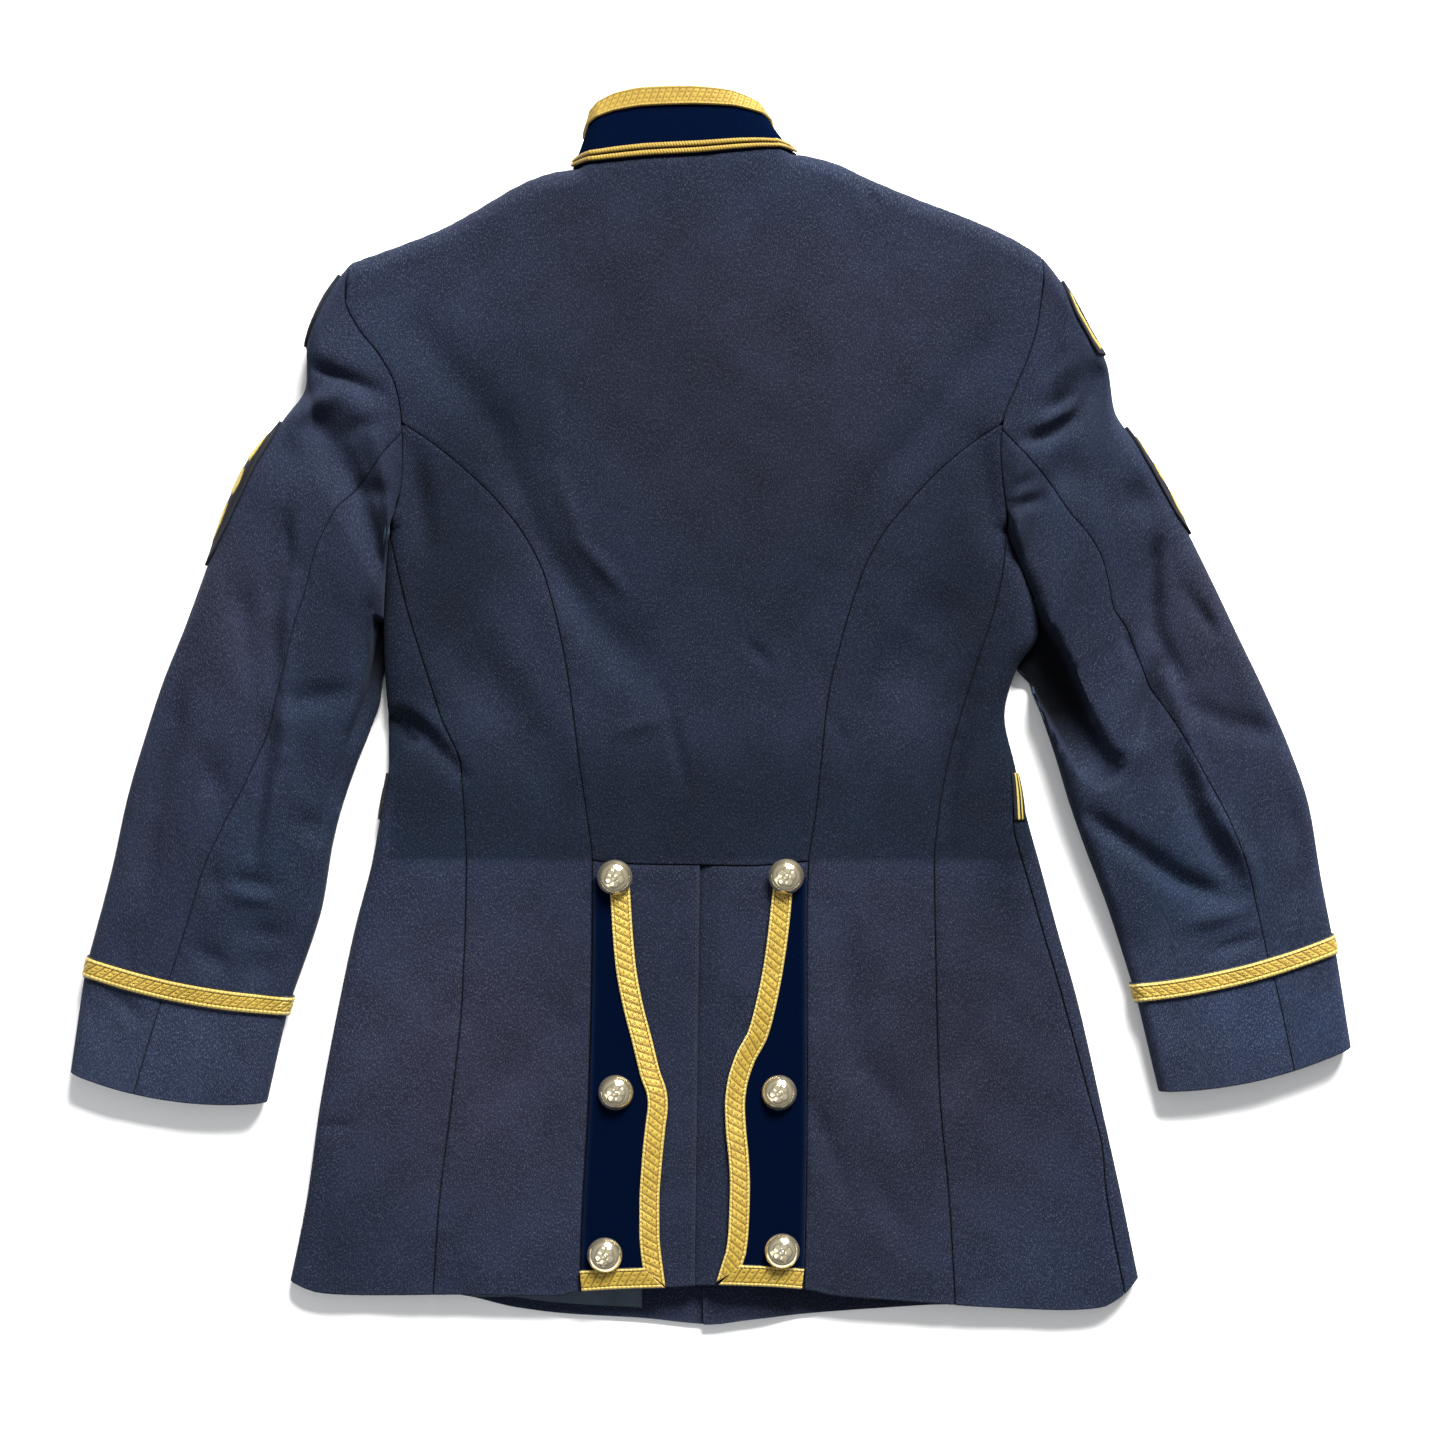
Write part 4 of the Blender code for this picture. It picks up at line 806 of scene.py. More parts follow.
def turned_over(x, run, top):
    """Angle and y of points that turn over the shoulder line, which lies at top."""
    past = (run - (top - TORSO_ROUND)) / TORSO_ROUND
    full = np.maximum(shoulder_share(x) * QUARTER, 0.02)
    phi = np.where(past > 0, full * past, 0.0)
    bent = top - TORSO_ROUND + TORSO_ROUND * np.sin(phi) / np.sin(full)
    return phi, np.where(past > 0, bent, run)


def torso_point(side, reach, run, on_front=False, lifted=False):
    """Points of the torso, and their shade.

    reach is the distance along the cloth from the side edge, plus on the back and minus on the
    front; run is the distance along the cloth up the torso, equal to y below the shoulders.
    """
    y = run + 0.0 * reach
    theta = np.clip(reach / TORSO_ROUND, -1.0, 1.0) * QUARTER
    for _ in range(6):
        x = torso_edge(side, y) - side * roll(reach)
        phi, y = turned_over(x, run, front_neck(x) if on_front else back_top(x))
    level = 0.5 + 0.5 * np.sin(theta) * np.cos(phi)
    z, shade = finish_torso(x, y, level)
    if lifted:
        z = z + front_lift(x, y) * np.maximum(0.0, 1 - 2 * level)
    return points_of(x, y, z), shade


def plan_point(x, run):
    """Points of the back between the princess seams, by their x, and their shade."""
    phi, y = turned_over(x, run, back_top(x))
    z, shade = finish_torso(x, y, 0.5 + 0.5 * np.cos(phi))
    return points_of(x, y, z), shade


def reach_of(side, x, y, under=False):
    """Distance along the cloth from the side edge to a seam at x."""
    distance = unroll((torso_edge(side, y) - x) * side)
    return np.where(under, -distance, distance)


def armhole_reach(side, y, under=False):
    return reach_of(side, armhole_x[side](y), y, under)


def side_seam_reach(side, y):
    return np.where(y >= UNDERARM_Y, armhole_reach(side, y),
                    reach_of(side, side_seam_x[side](y), y))


def front_seam_reach(side, y):
    inset = front_seam_inset[side](y)
    border = np.where(y <= UNDERARM_Y, edge_curve[side](y), armhole_x[side](y))
    under = (inset < 0) | (y > UNDERARM_Y)
    return reach_of(side, border - side * np.abs(inset), y, under)


# Grids and shells

BORDER_STEPS = [0.0, 0.3, 0.8, 1.6, 3.0]
TURNED_EDGE = 0.75       # radius of a panel's turned edge
SEAM_DIP = 0.40          # how far the cloth dips into a pressed seam
SEAM_SOFT = 2.4          # width of that dip
SEAM_SHADE = 0.85        # how dark the seam's line lies
SEAM_LINE = 0.42         # width of that line
HEM_WORN = 1.6           # width of the worn cloth along a hem
HEM_FACING_DEPTH = 34.0
PUCKER = 0.16            # small waves that the stitches pull along a seam
PUCKER_PLACE = 3.0
PUCKER_WIDTH = 3.5


def even(low, high, spacing):
    """Even places from low to high, without the last."""
    count = max(1, int(math.ceil((high - low) / spacing)))
    return [lerp(low, high, i / count) for i in range(count)]


def shares_over(length, spacing, first=True, last=True):
    """Shares from 0 to 1 of a length, closer together at the borders named."""
    start = BORDER_STEPS if first else [0.0]
    end = [length - s for s in reversed(BORDER_STEPS)] if last else [length]
    return np.array(start[:-1] + even(start[-1], end[0], spacing) + end) / length


def travelled(points, axis):
    """Distance along the grid from its first row (0) or column (1)."""
    steps = np.linalg.norm(np.diff(points, axis=axis), axis=-1)
    pad = [(0, 0), (0, 0)]
    pad[axis] = (1, 0)
    return np.cumsum(np.pad(steps, pad), axis=axis)


def grid_normals(points, outwards):
    du = np.gradient(points, axis=1)
    dv = np.gradient(points, axis=0)
    n = np.cross(du, dv)
    n = n / np.maximum(np.linalg.norm(n, axis=-1, keepdims=True), 1e-9)
    return n if np.sum(n * outwards) > 0 else -n


def turned(distance, radius):
    """How far a rounded edge lies below the cloth's face."""
    inside = np.clip(radius - distance, 0.0, radius)
    return radius - np.sqrt(radius * radius - inside * inside)


class Cloth:
    """Outer and inner points of one stretch of cloth, with what its material needs."""

    def __init__(self, points, outwards, thick=WALL, borders="ssss", lift=0.0, relief=0.0,
                 shade=0.0, gold=0.0, cut=None):
        """borders: first row, last row, first column, last column; s seam, h edge, n none."""
        along = travelled(points, 0)
        over = travelled(points, 1)
        normal = grid_normals(points, outwards)
        size = along.shape
        drop = np.zeros(size)
        dip = np.zeros(size)
        waves = np.zeros(size)
        wear = np.zeros(size)
        shade = np.zeros(size) + shade
        self.faced = np.zeros(size, bool)
        edges = [(along, over), (along[-1:] - along, over),
                 (over, along), (over[:, -1:] - over, along)]
        radius = TURNED_EDGE * min(thick / WALL, 1.0)
        for (distance, run), kind in zip(edges, borders):
            if kind != "n":
                drop = np.maximum(drop, turned(distance, radius))
            if kind == "s":
                dip = np.maximum(dip, SEAM_DIP * np.exp(-(distance / SEAM_SOFT) ** 2))
                shade = np.maximum(shade, SEAM_SHADE * np.exp(-(distance / SEAM_LINE) ** 2))
                pull = np.sin(run / 1.9 + 2.0 * np.sin(run / 11.0))
                near = np.exp(-((distance - PUCKER_PLACE) / PUCKER_WIDTH) ** 2)
                waves = waves + PUCKER * pull * near
            if kind == "h":
                wear = np.maximum(wear, np.exp(-(distance / HEM_WORN) ** 2))
                self.faced |= distance < HEM_FACING_DEPTH
        height = lift - drop - dip + waves + relief
        self.outer = points + normal * height[..., None]
        self.inner = points + normal * (lift - thick)
        self.outer[..., 2] = np.maximum(self.outer[..., 2], 0.0)
        self.inner[..., 2] = np.maximum(self.inner[..., 2], 0.05)
        self.cut = points_of(over, along) if cut is None else cut
        self.shade = shade
        # depth carries painted light and shade along with the cloth's own tone
        self.tint, self.depth = cloth_tone_and_shading(points[..., 0], points[..., 1])
        self.gold = np.zeros(size) + gold
        self.wear = wear


def shell_faces(rows, columns):
    """Outer, inner and rim faces of a shell between two grids."""
    count = rows * columns
    top = np.arange(count).reshape(rows, columns)
    low = top + count
    outer = np.stack([top[:-1, :-1], top[:-1, 1:], top[1:, 1:], top[1:, :-1]], -1)
    inner = np.stack([low[1:, :-1], low[1:, 1:], low[:-1, 1:], low[:-1, :-1]], -1)
    rims = []
    for a, b in ((top[0, 1:], top[0, :-1]), (top[-1, :-1], top[-1, 1:]),
                 (top[:-1, 0], top[1:, 0]), (top[1:, -1], top[:-1, -1])):
        rims.append(np.stack([a, b, b + count, a + count], -1))
    return outer.reshape(-1, 4), inner.reshape(-1, 4), np.concatenate(rims)


def ring_quads(rows, around, start=0):
    """Ids of the points of a stack of rings, and the faces between them."""
    ids = np.arange(rows * around).reshape(rows, around) + start
    following = np.roll(ids, -1, axis=1)
    quads = np.stack([ids[:-1], following[:-1], following[1:], ids[1:]], -1)
    return ids, quads.reshape(-1, 4)


def enclosed(points, faces):
    """Six times the volume inside, negative where the faces look inwards."""
    corners = points[faces]
    spans = np.cross(corners[:, 2] - corners[:, 0], corners[:, 3] - corners[:, 1])
    return np.einsum("ij,ij->", corners.mean(axis=1), spans)


SHARP_ANGLE = math.radians(70)


def add_mesh(name, nodes, points, faces, cut, paint, wear, slots, face_slots, slot):
    """One object from points in millimetres."""
    placed = (points - np.array((*CENTRE, 0.0))) * MM
    mesh = bpy.data.meshes.new(name)
    mesh.from_pydata(placed.tolist(), [], faces.tolist())
    layer = mesh.uv_layers.new(name="cut")
    layer.data.foreach_set("uv", (cut[faces.ravel()] * MM).ravel())
    colours = mesh.color_attributes.new(name="paint", type="FLOAT_COLOR", domain="POINT")
    colours.data.foreach_set("color", paint.ravel())
    worn = mesh.attributes.new(name="wear", type="FLOAT", domain="POINT")
    worn.data.foreach_set("value", wear)
    for made in slots:
        mesh.materials.append(made)
    mesh.polygons.foreach_set("material_index", face_slots.astype(np.int32))
    mesh.update()
    mesh.shade_smooth()
    mesh.set_sharp_from_angle(angle=SHARP_ANGLE)
    obj = bpy.data.objects.new(name, mesh)
    bpy.context.scene.collection.objects.link(obj)
    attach(obj, "root")
    if nodes:
        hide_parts(*nodes)


def add_cloth(name, nodes, stretches, slot, inside=None):
    """A closed shell of cloth, or several, as one object; inside is what lines it, if any."""
    points, faces, cut, paint, wear, sides = [], [], [], [], [], []
    base = 0
    for cloth in stretches:
        rows, columns = cloth.outer.shape[:2]
        both = np.concatenate([cloth.outer.reshape(-1, 3), cloth.inner.reshape(-1, 3)])
        parts = shell_faces(rows, columns)
        every = np.concatenate(parts)
        if enclosed(both, every) < 0:
            every = every[:, ::-1]
        points.append(both)
        faces.append(every + base)
        # the inside is lining, but for the cloth's own facing near its hems
        lined = np.where(cloth.faced[:-1, :-1], 0, 1 if inside else 0).ravel()
        sides += [np.zeros(len(parts[0])), lined, np.zeros(len(parts[2]))]
        cut.append(np.tile(cloth.cut.reshape(-1, 2), (2, 1)))
        mixed = points_of(cloth.shade, cloth.tint, cloth.gold, cloth.depth).reshape(-1, 4)
        paint.append(np.tile(mixed, (2, 1)))
        wear.append(np.tile(cloth.wear.ravel(), 2))
        base += len(both)
    slots = [MATERIALS[made] for made in (slot, inside) if made]
    add_mesh(name, nodes, *(np.concatenate(part) for part in (points, faces, cut, paint, wear)),
             slots, np.concatenate(sides), slot)


# Panels of the torso

TORSO_GRID = 2.8
HIDDEN_GRID = 5.0        # on the side that the jacket lies on
SLEEVE_GRID = 2.45
LOW_KNOTS = [-330.0, -240.0, -150.0, -57.0, 22.0, 80.0]
WAIST_BELOW = -99.0
MIN_TURN = 8.0
FOLD_SHARE = 0.12        # share of a front's columns that lies round the side's fold
SEAM_TIP = 1.9           # a panel's tip ends this much short of where its seams meet
INSIDE_BODY = np.array((0.0, 0.0, 6.0))


def share_y(side, share):
    return lerp(UNDERARM_Y, SHOULDER_Y[side], share)


def solve_row(side, reach_at, boundary, start, count):
    """The y at which each column meets a boundary given as y over x."""
    y = np.full(count, start)
    for _ in range(14):
        x = torso_edge(side, y) - side * roll(reach_at(y))
        y = boundary(x)
    return y


def rows_through(knots, spacing, count):
    """Fine rows through the levels given, each a number or an array over the columns."""
    levels = [np.broadcast_to(np.asarray(knot, float), (count,)) for knot in knots]
    rows = []
    for i, (a, b) in enumerate(zip(levels, levels[1:])):
        length = float(np.mean(np.abs(b - a)))
        shares = shares_over(max(length, 10.0), spacing, i == 0, i == len(levels) - 2)
        rows += [lerp(a, b, share) for share in shares[:-1]]
    rows.append(levels[-1])
    return np.array(rows)


def torso_panel(name, side, low_reach, high_reach, shares, knots, borders="hsss",
                on_front=False, lifted=False, spacing=TORSO_GRID, turn=False):
    """A torso panel between two seams, given as reaches over y.

    A knot is a y value, or a function that gives the y at which every column ends.
    """
    count = len(shares)
    inset = SEAM_GAP / 2

    def reach_at(y):
        low = low_reach(y)
        high = high_reach(y)
        gap = np.copysign(inset, high - low)
        if not turn:
            return lerp(low + gap, high - gap, shares)
        folded = np.minimum(low - MIN_TURN, -TORSO_ROUND)
        first = lerp(low + gap, folded, np.minimum(shares / FOLD_SHARE, 1.0))
        rest = (shares - FOLD_SHARE) / (1 - FOLD_SHARE)
        return np.where(shares < FOLD_SHARE, first, lerp(folded, high - gap, rest))

    solved = [knot(reach_at, count) if callable(knot) else knot for knot in knots]
    run = rows_through(solved, spacing, count)
    top = SHOULDER_Y[side]
    sewn = np.where(run > top - TORSO_ROUND, run, np.minimum(run, top)) if on_front \
        else np.minimum(run, top)
    reach = reach_at(sewn)
    points, shade = torso_point(side, reach, run, on_front, lifted)
    outwards = (points - INSIDE_BODY) * np.array((0.02, 0.0, 1.0))
    cloth = Cloth(points, outwards, borders=borders, shade=shade, cut=points_of(reach, run))
    add_cloth(name, [name[len("cloth_"):]], [cloth], "wool", "lining")


def make_back_sides():
    for side in SIDES:
        def outer_seam(y, side=side):
            return side_seam_reach(side, y)

        def princess(y, side=side):
            return reach_of(side, princess_x[side](y), y)

        def hem(reach_at, count, side=side):
            return solve_row(side, reach_at, back_hem, -375.0, count)

        tip = PRINCESS[-1][0] - SEAM_TIP
        knots = [hem] + LOW_KNOTS + [UNDERARM_Y, UNDERARM_Y + TORSO_ROUND, share_y(side, 0.15),
                                     share_y(side, 0.31), tip]
        torso_panel("cloth_back_side_" + SIDE_NAME[side], side, outer_seam, princess,
                    shares_over(75.0, TORSO_GRID), knots)


def make_side_bodies():
    for side in SIDES:
        def front_seam(y, side=side):
            return front_seam_reach(side, y)

        def back_seam(y, side=side):
            return np.where(y > UNDERARM_Y, armhole_reach(side, y, under=True),
                            side_seam_reach(side, y))

        def hem(reach_at, count, side=side):
            return solve_row(side, reach_at, back_hem, -372.0, count)

        tip = share_y(side, FRONT_SEAM_SHARE) - SEAM_TIP
        knots = [hem] + LOW_KNOTS + [UNDERARM_Y, UNDERARM_Y + TORSO_ROUND, share_y(side, 0.15),
                                     tip]
        torso_panel("cloth_side_body_" + SIDE_NAME[side], side, front_seam, back_seam,
                    shares_over(60.0, TORSO_GRID), knots)


def make_fronts():
    for side in SIDES:
        def outer_seam(y, side=side):
            sewn = armhole_reach(side, np.minimum(y, SHOULDER_Y[side]), under=True)
            return np.where(y > share_y(side, FRONT_SEAM_SHARE), sewn,
                            front_seam_reach(side, y))

        def closing_edge(y, side=side):
            x = centre_front(y) + (FRONT_LAP if side == -1 else 0.0)
            return reach_of(side, x, y, under=True)

        def hem(reach_at, count, side=side):
            return solve_row(side, reach_at, front_hem, -380.0, count)

        def top_row(part):
            def run(reach_at, count, side=side):
                def neckline(x):
                    return front_neck(x) - SEAM_GAP / 2
                top = solve_row(side, reach_at, neckline, 300.0, count)
                return top - TORSO_ROUND * (1 - part)
            return run

        knots = [hem] + LOW_KNOTS + [UNDERARM_Y, UNDERARM_Y + TORSO_ROUND]
        knots += [share_y(side, s) for s in (0.15, FRONT_SEAM_SHARE, 0.40, 0.55, 0.70, 0.845)]
        knots += [top_row(0.0), top_row(1.0)]
        start = shares_over(26.0, TORSO_GRID, True, False) * FOLD_SHARE
        rest = FOLD_SHARE + (1 - FOLD_SHARE) * shares_over(185.0, HIDDEN_GRID, False, True)
        torso_panel("cloth_front_" + SIDE_NAME[side], side, outer_seam, closing_edge,
                    np.concatenate([start[:-1], rest]), knots, "hssh", on_front=True,
                    lifted=side == 1, spacing=HIDDEN_GRID, turn=True)


def back_border(side, y):
    """Side of the centre back: the princess seam, then the armhole."""
    seam = princess_x[side](y)
    armhole = armhole_x[side](np.minimum(y, SHOULDER_Y[side]))
    return np.where(y < PRINCESS[-1][0], seam, armhole) - side * SEAM_GAP / 2


NECK_REACH = 0.9         # the back runs up to the collar's foot
BACK_WIDTH = 422.0
ABOVE_WAIST = -72.0


def make_back_centre():
    u = shares_over(BACK_WIDTH, TORSO_GRID)
    waist = np.full(len(u), WAIST_BELOW)
    for _ in range(8):
        x = lerp(back_border(-1, waist), back_border(1, waist), u)
        waist = waist_seam(x) + SEAM_GAP / 2
    rows = []
    for t in shares_over(25.0, TORSO_GRID, True, False)[:-1]:
        y = lerp(waist, ABOVE_WAIST, t)
        rows.append((lerp(back_border(-1, y), back_border(1, y), u), y))
    upper_knots = [knot for knot in LOW_KNOTS if knot > ABOVE_WAIST]
    levels = [(y, y) for y in [ABOVE_WAIST] + upper_knots + [UNDERARM_Y]]
    levels += [(share_y(-1, s), share_y(1, s)) for s in (0.4, 0.7, 0.845)]
    for (a_left, a_right), (b_left, b_right) in zip(levels, levels[1:]):
        for t in shares_over(b_left - a_left, TORSO_GRID, False, False)[:-1]:
            left_y = lerp(a_left, b_left, t)
            right_y = lerp(a_right, b_right, t)
            x = lerp(back_border(-1, left_y), back_border(1, right_y), u)
            rows.append((x, lerp(left_y, right_y, u)))
    left_y, right_y = levels[-1]
    last_x = lerp(back_border(-1, left_y), back_border(1, right_y), u)
    last_y = lerp(left_y, right_y, u)
    top_x = lerp(back_border(-1, SHOULDER_Y[-1]), back_border(1, SHOULDER_Y[1]), u)
    top = back_top(top_x) - SEAM_GAP / 2 + NECK_REACH * (1 - shoulder_share(top_x))
    arc_x = top_x.copy()
    for end, side in ((0, -1), (-1, 1)):
        arc_x[end] = armhole_x[side](top[end] - TORSO_ROUND) - side * SEAM_GAP / 2
    arc_y = top - TORSO_ROUND
    for t in shares_over(40.0, TORSO_GRID, False, False)[:-1]:
        rows.append((lerp(last_x, arc_x, t), lerp(last_y, arc_y, t)))
    for t in shares_over(TORSO_ROUND, 1.6, False, True):
        rows.append((lerp(arc_x, top_x, t), arc_y + TORSO_ROUND * t))
    x = np.array([row[0] for row in rows])
    run = np.array([row[1] for row in rows])
    points, shade = plan_point(x, run)
    cloth = Cloth(points, UP, shade=shade, cut=points_of(x, run))
    add_cloth("cloth_back_centre", ["back_centre"], [cloth], "wool", "lining")


SKIRT_WIDTH = {-1: 73.0, 1: 85.0}


def make_skirts():
    for side in SIDES:
        shares = shares_over(SKIRT_WIDTH[side], TORSO_GRID)

        def column_x(y, side=side):
            outer = princess_x[side](y) - side * SEAM_GAP / 2
            inner = vent_edge(y) - (0.0 if side == -1 else VENT_LAP)
            return lerp(outer, inner, shares)

        hem = np.full(len(shares), -371.0)
        waist = np.full(len(shares), WAIST_BELOW)
        for _ in range(8):
            hem = back_hem(column_x(hem))
            waist = waist_seam(column_x(waist)) - SEAM_GAP / 2
        run = rows_through([hem, -330.0, -240.0, -150.0, waist], TORSO_GRID, len(shares))
        x = column_x(run)
        points, shade = plan_point(x, run)
        lift = np.zeros(x.shape)
        if side == 1:
            past = x - vent_edge(run)
            lift = -(WALL + LAID_GAP) * (1 - smoothstep((past - 1.0) / 12.0))
            shade = np.maximum(shade, 0.9 * np.exp(-(np.maximum(past, 0.0) / 1.1) ** 2))
        cloth = Cloth(points, UP, borders="hssh", shade=shade, relief=lift,
                      cut=points_of(x, run))
        cloth.inner = cloth.inner + points_of(0.0, 0.0, lift)
        name = "skirt_centre_" + SIDE_NAME[side]
        add_cloth("cloth_" + name, [name], [cloth], "wool", "lining")


# What is laid on the tail

FLAP_GRID = 2.2
FACING_THICK = 1.0
FACING_LIFT = 1.35       # of the outer face of what lies on a panel, over that panel's face
LACE_LIFT = 2.35
LACE_THICK = 0.9
CORD_PLACE = 5.4         # of the lace's corded edges, from its middle
CORD_RADIUS = 0.85
BLACK_EDGE = 0.55          # black edge outside the cords
PATTERN = 5.5            # length of the lace's repeat
SLANT = 0.62             # of the grooves between the floats
PIT_PLACE = 1.7          # of the two short pits of each float, from the lace's middle
PIT_HALF = 0.9           # half their length
DOT_HALF = 1.1           # half the length of the dents beside the cords
GROOVE_WIDTH = 0.62
FLAP_GAP = SEAM_GAP / 2 + 0.6         # between the seam and what is laid along it


def lace_relief(across, along):
    """Height of the woven lace, the painted shade in its grooves, pits and dents and beside its
    cords, and how golden it is.
    """
    across = across + 0 * along
    half = CORD_PLACE - CORD_RADIUS
    out = np.abs(across)
    turn = (along - SLANT * across) / PATTERN
    from_groove = np.abs(turn - np.round(turn)) * PATTERN
    from_middle = np.abs(turn - 0.5 - np.round(turn - 0.5)) * PATTERN
    long = smoothstep((PIT_HALF - from_middle) / 0.5 + 0.5)
    short = smoothstep((DOT_HALF - from_middle) / 0.6 + 0.4)
    groove = np.exp(-(from_groove / GROOVE_WIDTH) ** 2)
    pit = np.exp(-((out - PIT_PLACE) / 0.50) ** 2) * long
    dot = np.exp(-((out - half + 0.25) / 0.42) ** 2) * short
    wire = 0.035 * np.sin((across * 0.8 + along) * math.tau / 0.8)
    body = 0.46 - 0.12 * np.cos(turn * math.tau) - 0.24 * groove - 0.38 * pit - 0.2 * dot
    # corded edges, scalloped twice to each repeat
    scallop = 0.5 + 0.5 * np.sin(along * 2 * math.tau / PATTERN + np.sign(across) * 0.8)
    away = np.abs(out - CORD_PLACE) / (CORD_RADIUS * (0.84 + 0.16 * scallop))
    cord = 0.80 * np.sqrt(np.clip(1 - away * away, 0.0, 1.0)) * (0.66 + 0.34 * scallop)
    inner = out < half
    # painted shade in the grooves, pits and dents, and between the scallops of the cords
    dark = np.where(inner, groove + 0.90 * pit + 0.6 * dot, 0.6 * (1 - scallop) ** 2)
    # painted shade beside the cords
    beside = np.exp(-((out - half) / 0.30) ** 2)
    gold = 1.0 + smoothstep((out - half) / 0.3)
    gold = np.where(out > LACE_WIDTH / 2, 0.0, gold)
    height = np.where(inner, body + wire, cord)
    return height, np.clip(dark + 0.35 * beside, 0.0, 1.0), gold


def make_flaps():
    for side in SIDES:
        shares = shares_over(40.0, TORSO_GRID)

        def column_x(y, side=side):
            seam = princess_x[side](y) - side * FLAP_GAP
            return lerp(seam, flap_edge[side](y), shares)

        hem = np.full(len(shares), -371.0)
        for _ in range(8):
            hem = back_hem(column_x(hem)) + 0.5
        run = rows_through([hem] + FLAP_LEVELS, FLAP_GRID, len(shares))
        x = column_x(run)
        points, shade = plan_point(x, run)
        cloth = Cloth(points, UP, FACING_THICK, "hhhh", FACING_LIFT, shade=shade,
                      cut=points_of(x, run))
        name = "tail_flap_" + SIDE_NAME[side]
        add_cloth("facing_" + name, [name], [cloth], "navy_cloth")


def resample(path, spacing):
    """Even points along a path, with the distance to each."""
    path = np.array(path)
    steps = np.linalg.norm(np.diff(path, axis=0), axis=1)
    reach = np.concatenate([[0.0], np.cumsum(steps)])
    count = int(math.ceil(reach[-1] / spacing)) + 1
    at = np.linspace(0.0, reach[-1], count)
    return np.stack([np.interp(at, reach, path[:, k]) for k in (0, 1)], -1), at


def lace_columns():
    """Places across the lace: its black edges, then even steps."""
    edge = LACE_WIDTH / 2
    rest = np.linspace(-edge, edge, 30)
    return np.concatenate([[-edge - BLACK_EDGE, -edge - 0.05], rest, [edge + 0.05, edge + BLACK_EDGE]])


LACE_SPACING = 0.66
MITRE_REACH = 14.0       # how far from its end a strip begins to slant towards its mitre


def lace_strip(path, mitred_at_end, mitre_sign):
    """A stretch of lace along a path in the plan, mitred at its end or at its start."""
    line, at = resample(path, LACE_SPACING)
    tangent = np.gradient(line, axis=0)
    tangent = tangent / np.linalg.norm(tangent, axis=1, keepdims=True)
    left = np.stack([-tangent[:, 1], tangent[:, 0]], -1)
    across = lace_columns()
    near = np.abs(at - (at[-1] if mitred_at_end else 0.0))
    slide = np.exp(-near / MITRE_REACH)[:, None] * (across * mitre_sign)[None, :]
    x = line[:, None, 0] + left[:, None, 0] * across + tangent[:, None, 0] * slide
    y = line[:, None, 1] + left[:, None, 1] * across + tangent[:, None, 1] * slide
    points, shade = plan_point(x, y)
    along = at[:, None] + slide
    relief, dark, gold = lace_relief(across[None, :], along)
    return Cloth(points, UP, LACE_THICK, "hhhh", LACE_LIFT, relief=relief,
                 shade=np.maximum(dark, shade * 0.3), gold=gold,
                 cut=points_of(across[None, :], along))


HEM_TO_LACE = 0.8
LACE_CORNER_Y = -365.0


def make_tail_lace():
    half = LACE_WIDTH / 2
    for side in SIDES:
        upright = [(flap_edge[side](LACE_TOP_Y) + side * half, LACE_TOP_Y)]
        for y in np.arange(-118.0, -352.0, -3.0):
            upright.append((float(flap_edge[side](y)) + side * half, float(y)))
        corner_x = float(flap_edge[side](LACE_CORNER_Y)) + side * half
        corner_y = float(back_hem(corner_x)) + HEM_TO_LACE + half
        upright.append((corner_x, corner_y))
        seam = float(princess_x[side](-368.0)) - side * FLAP_GAP
        low = [(corner_x, corner_y)]
        for u in np.linspace(0.1, 1.0, 10):
            x = lerp(corner_x, seam, u)
            low.append((float(x), float(back_hem(x)) + HEM_TO_LACE + half))
        # the strip turns towards the seam, so the outer side of its end runs longer
        strips = [lace_strip(upright, True, -side), lace_strip(low, False, side)]
        name = SIDE_NAME[side]
        add_cloth("lace_tail_" + name, ["tail_lace_" + name], strips, "gold_lace")


# Buttons

PETALS = 5
BUTTON_COLUMNS = 144
BUTTON_RINGS = [
    # share of the radius, share of the height
    (0.84, 0.0),
    (0.97, 0.02),
    (1.0, 0.08),
    (1.0, 0.14),
    (0.99, 0.19),
    (0.975, 0.235),
    (0.955, 0.28),
    (0.93, 0.33),
    (0.90, 0.385),
    (0.84, 0.49),
    (0.75, 0.63),
    (0.64, 0.75),
    (0.51, 0.86),
    (0.36, 0.94),
    (0.20, 0.985),
    (0.0, 1.0),
]


def button_relief(share, angle):
    """A rosette of rounded petals round a small boss, on a smooth dome."""
    petal = np.abs(np.cos(angle * PETALS / 2))
    reach = 0.40 + 0.22 * petal ** 0.7
    body = smoothstep((reach - share) / 0.12) * smoothstep((share - 0.16) / 0.08)
    rosette = 0.36 * body * petal ** 0.8
    boss = 0.42 * smoothstep((0.16 - share) / 0.08)
    return rosette + boss


